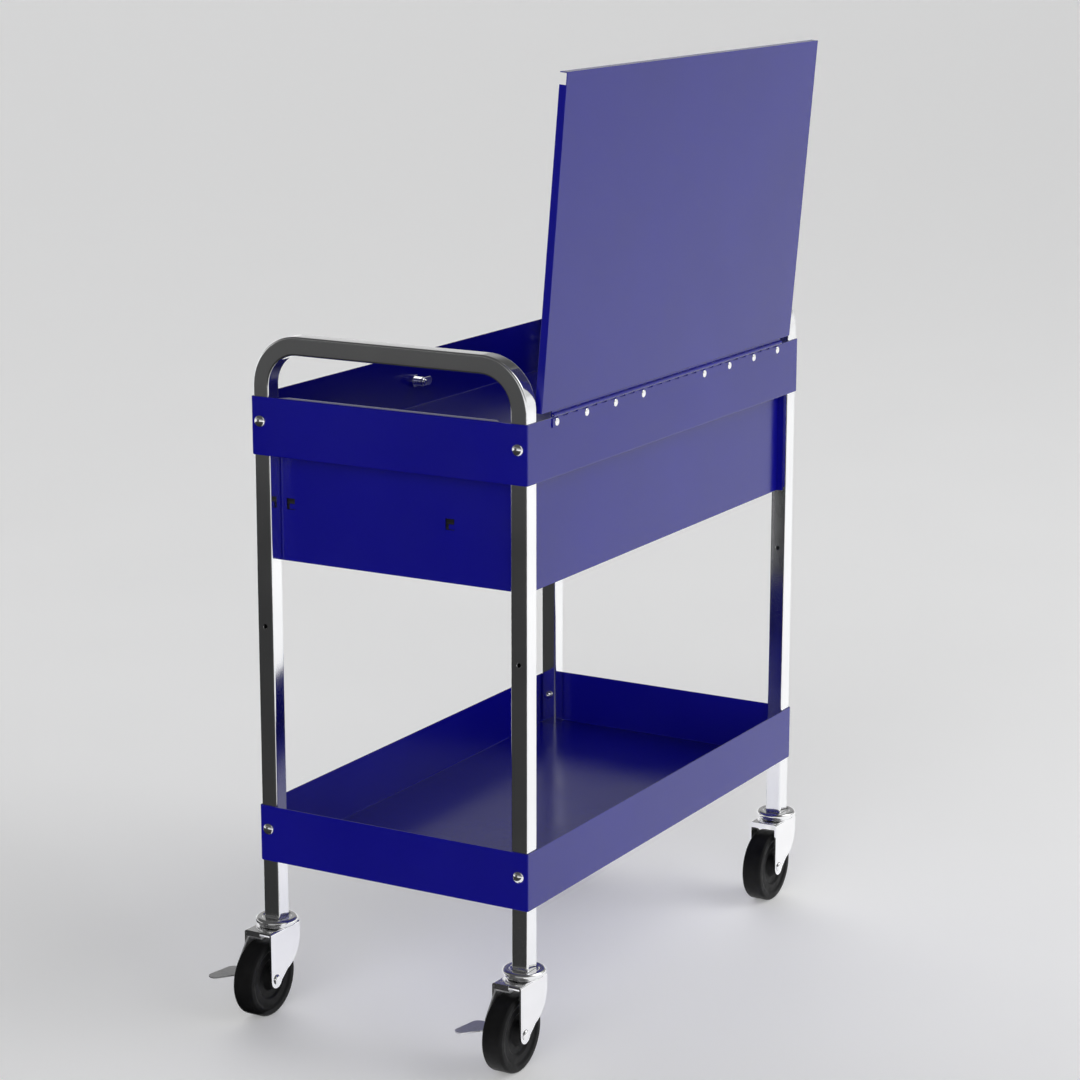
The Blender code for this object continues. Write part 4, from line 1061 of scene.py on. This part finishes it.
def reflection_card_shade():
    """Painted reflection for the dark cards that only reflections see: darker at a card's -X end,
    lighter at its +X end.
    """
    s = Shader("reflection_card_shade")
    along = s.node("ShaderNodeSeparateXYZ")
    s.link(s.coords, along.inputs["Vector"])
    ends = (-CARD_FADE_REACH, CARD_FADE_REACH)
    # Painted reflection: the card's tone ramps along its X, so polished faces mirror it darker at
    # one end and lighter at the other
    s.feed("Base Color", fade(s.tree, along.outputs["X"], *ends, *CARD_REFLECTION_TONES))
    s.set(Roughness=0.9)
    return s.material


def build_stage():
    """A wide pale floor, and dark cards that only reflections see."""
    stage_sheet("floor", pale_floor(), (FLOOR_REACH, FLOOR_REACH))
    card_shade = reflection_card_shade()
    forward = Vector((math.cos(CARD_HEADING), math.sin(CARD_HEADING), 0))
    sideways = Vector((-math.sin(CARD_HEADING), math.cos(CARD_HEADING), 0))
    middle = forward * (CARD_NEAR + CARD_FAR) / 2 + sideways * (CARD_LEFT + CARD_RIGHT) / 2
    lying = stage_sheet(
        "dark_card_lying",
        card_shade,
        ((CARD_FAR - CARD_NEAR) / 2, (CARD_LEFT - CARD_RIGHT) / 2),
        middle + Vector((0, 0, CARD_LIFT)),
        (0, 0, CARD_HEADING),
    )
    upright = stage_sheet(
        "dark_card_upright",
        card_shade,
        (CARD_HEIGHT / 2, -CARD_RIGHT),
        forward * CARD_FAR + Vector((0, 0, CARD_HEIGHT / 2)),
        (0, math.pi / 2, CARD_HEADING),
    )
    for card in (lying, upright):
        for ray in ("camera", "diffuse", "shadow", "transmission", "volume_scatter"):
            setattr(card, f"visible_{ray}", False)


def area_light(name, place, aim, sides, power):
    """A soft lamp that the camera doesn't see."""
    light = bpy.data.lights.new(name, "AREA")
    light.shape = "RECTANGLE"
    light.size, light.size_y = sides
    light.energy = power
    obj = bpy.data.objects.new(name, light)
    obj.location = place
    direction = Vector(aim) - Vector(place)
    obj.rotation_euler = direction.to_track_quat("-Z", "Y").to_euler()
    obj.visible_camera = False
    bpy.context.scene.collection.objects.link(obj)


def glow_towards(tree, direction, towards, cosines, strength):
    """A soft round patch of light on the room's sky."""
    facing = tree.nodes.new("ShaderNodeVectorMath")
    facing.operation = "DOT_PRODUCT"
    facing.inputs[1].default_value = Vector(towards).normalized()
    tree.links.new(direction, facing.inputs[0])
    return fade(tree, facing.outputs["Value"], *cosines, 0.0, strength)


def build_light():
    """A high soft lamp behind the hinge side, in a room with three soft glows."""
    area_light("wash", LAMP_PLACE, LAMP_AIM, LAMP_SIDES, LAMP_POWER)
    world = bpy.data.worlds.new("room")
    bpy.context.scene.world = world
    world.use_nodes = True
    tree = world.node_tree
    direction = tree.nodes.new("ShaderNodeTexCoord").outputs["Generated"]
    split = tree.nodes.new("ShaderNodeSeparateXYZ")
    tree.links.new(direction, split.inputs["Vector"])
    height = split.outputs["Z"]
    lighting = fade(tree, height, *SKY_FADE)
    for towards, strength in ROOM_GLOWS:
        glow = glow_towards(tree, direction, towards, GLOW_COSINES, strength)
        lighting = math_node(tree, "ADD", lighting, glow)
    low_haze = fade(tree, height, *LOW_HAZE_FADE)
    high_haze = fade(tree, height, *HIGH_HAZE_FADE)
    haze = math_node(tree, "MAXIMUM", low_haze, high_haze)
    panel = glow_towards(tree, direction, PANEL_TOWARDS, PANEL_COSINES, PANEL_LEVEL)
    mirrored = math_node(tree, "MAXIMUM", haze, panel)
    camera_rays, mirrored_rays = ray_kinds(tree)
    shown = either(tree, mirrored_rays, lighting, mirrored)
    backdrop = tree.nodes["Background"]
    backdrop.inputs["Color"].default_value = (1, 1, 1, 1)
    strength = either(tree, camera_rays, shown, BACKDROP_LEVEL)
    tree.links.new(strength, backdrop.inputs["Strength"])


def build_camera():
    """The camera at the photograph's viewing angle."""
    camera = bpy.data.cameras.new("camera")
    camera.sensor_width = CAMERA_SENSOR
    camera.lens = CAMERA_LENS
    camera.clip_end = CAMERA_CLIP
    obj = bpy.data.objects.new("camera", camera)
    obj.location = CAMERA_PLACE
    obj.rotation_euler = (CAMERA_PITCH, 0, CAMERA_HEADING)
    bpy.context.scene.collection.objects.link(obj)
    bpy.context.scene.camera = obj


build_stage()
build_light()
build_camera()
bpy.context.scene.view_settings.view_transform = "Standard"
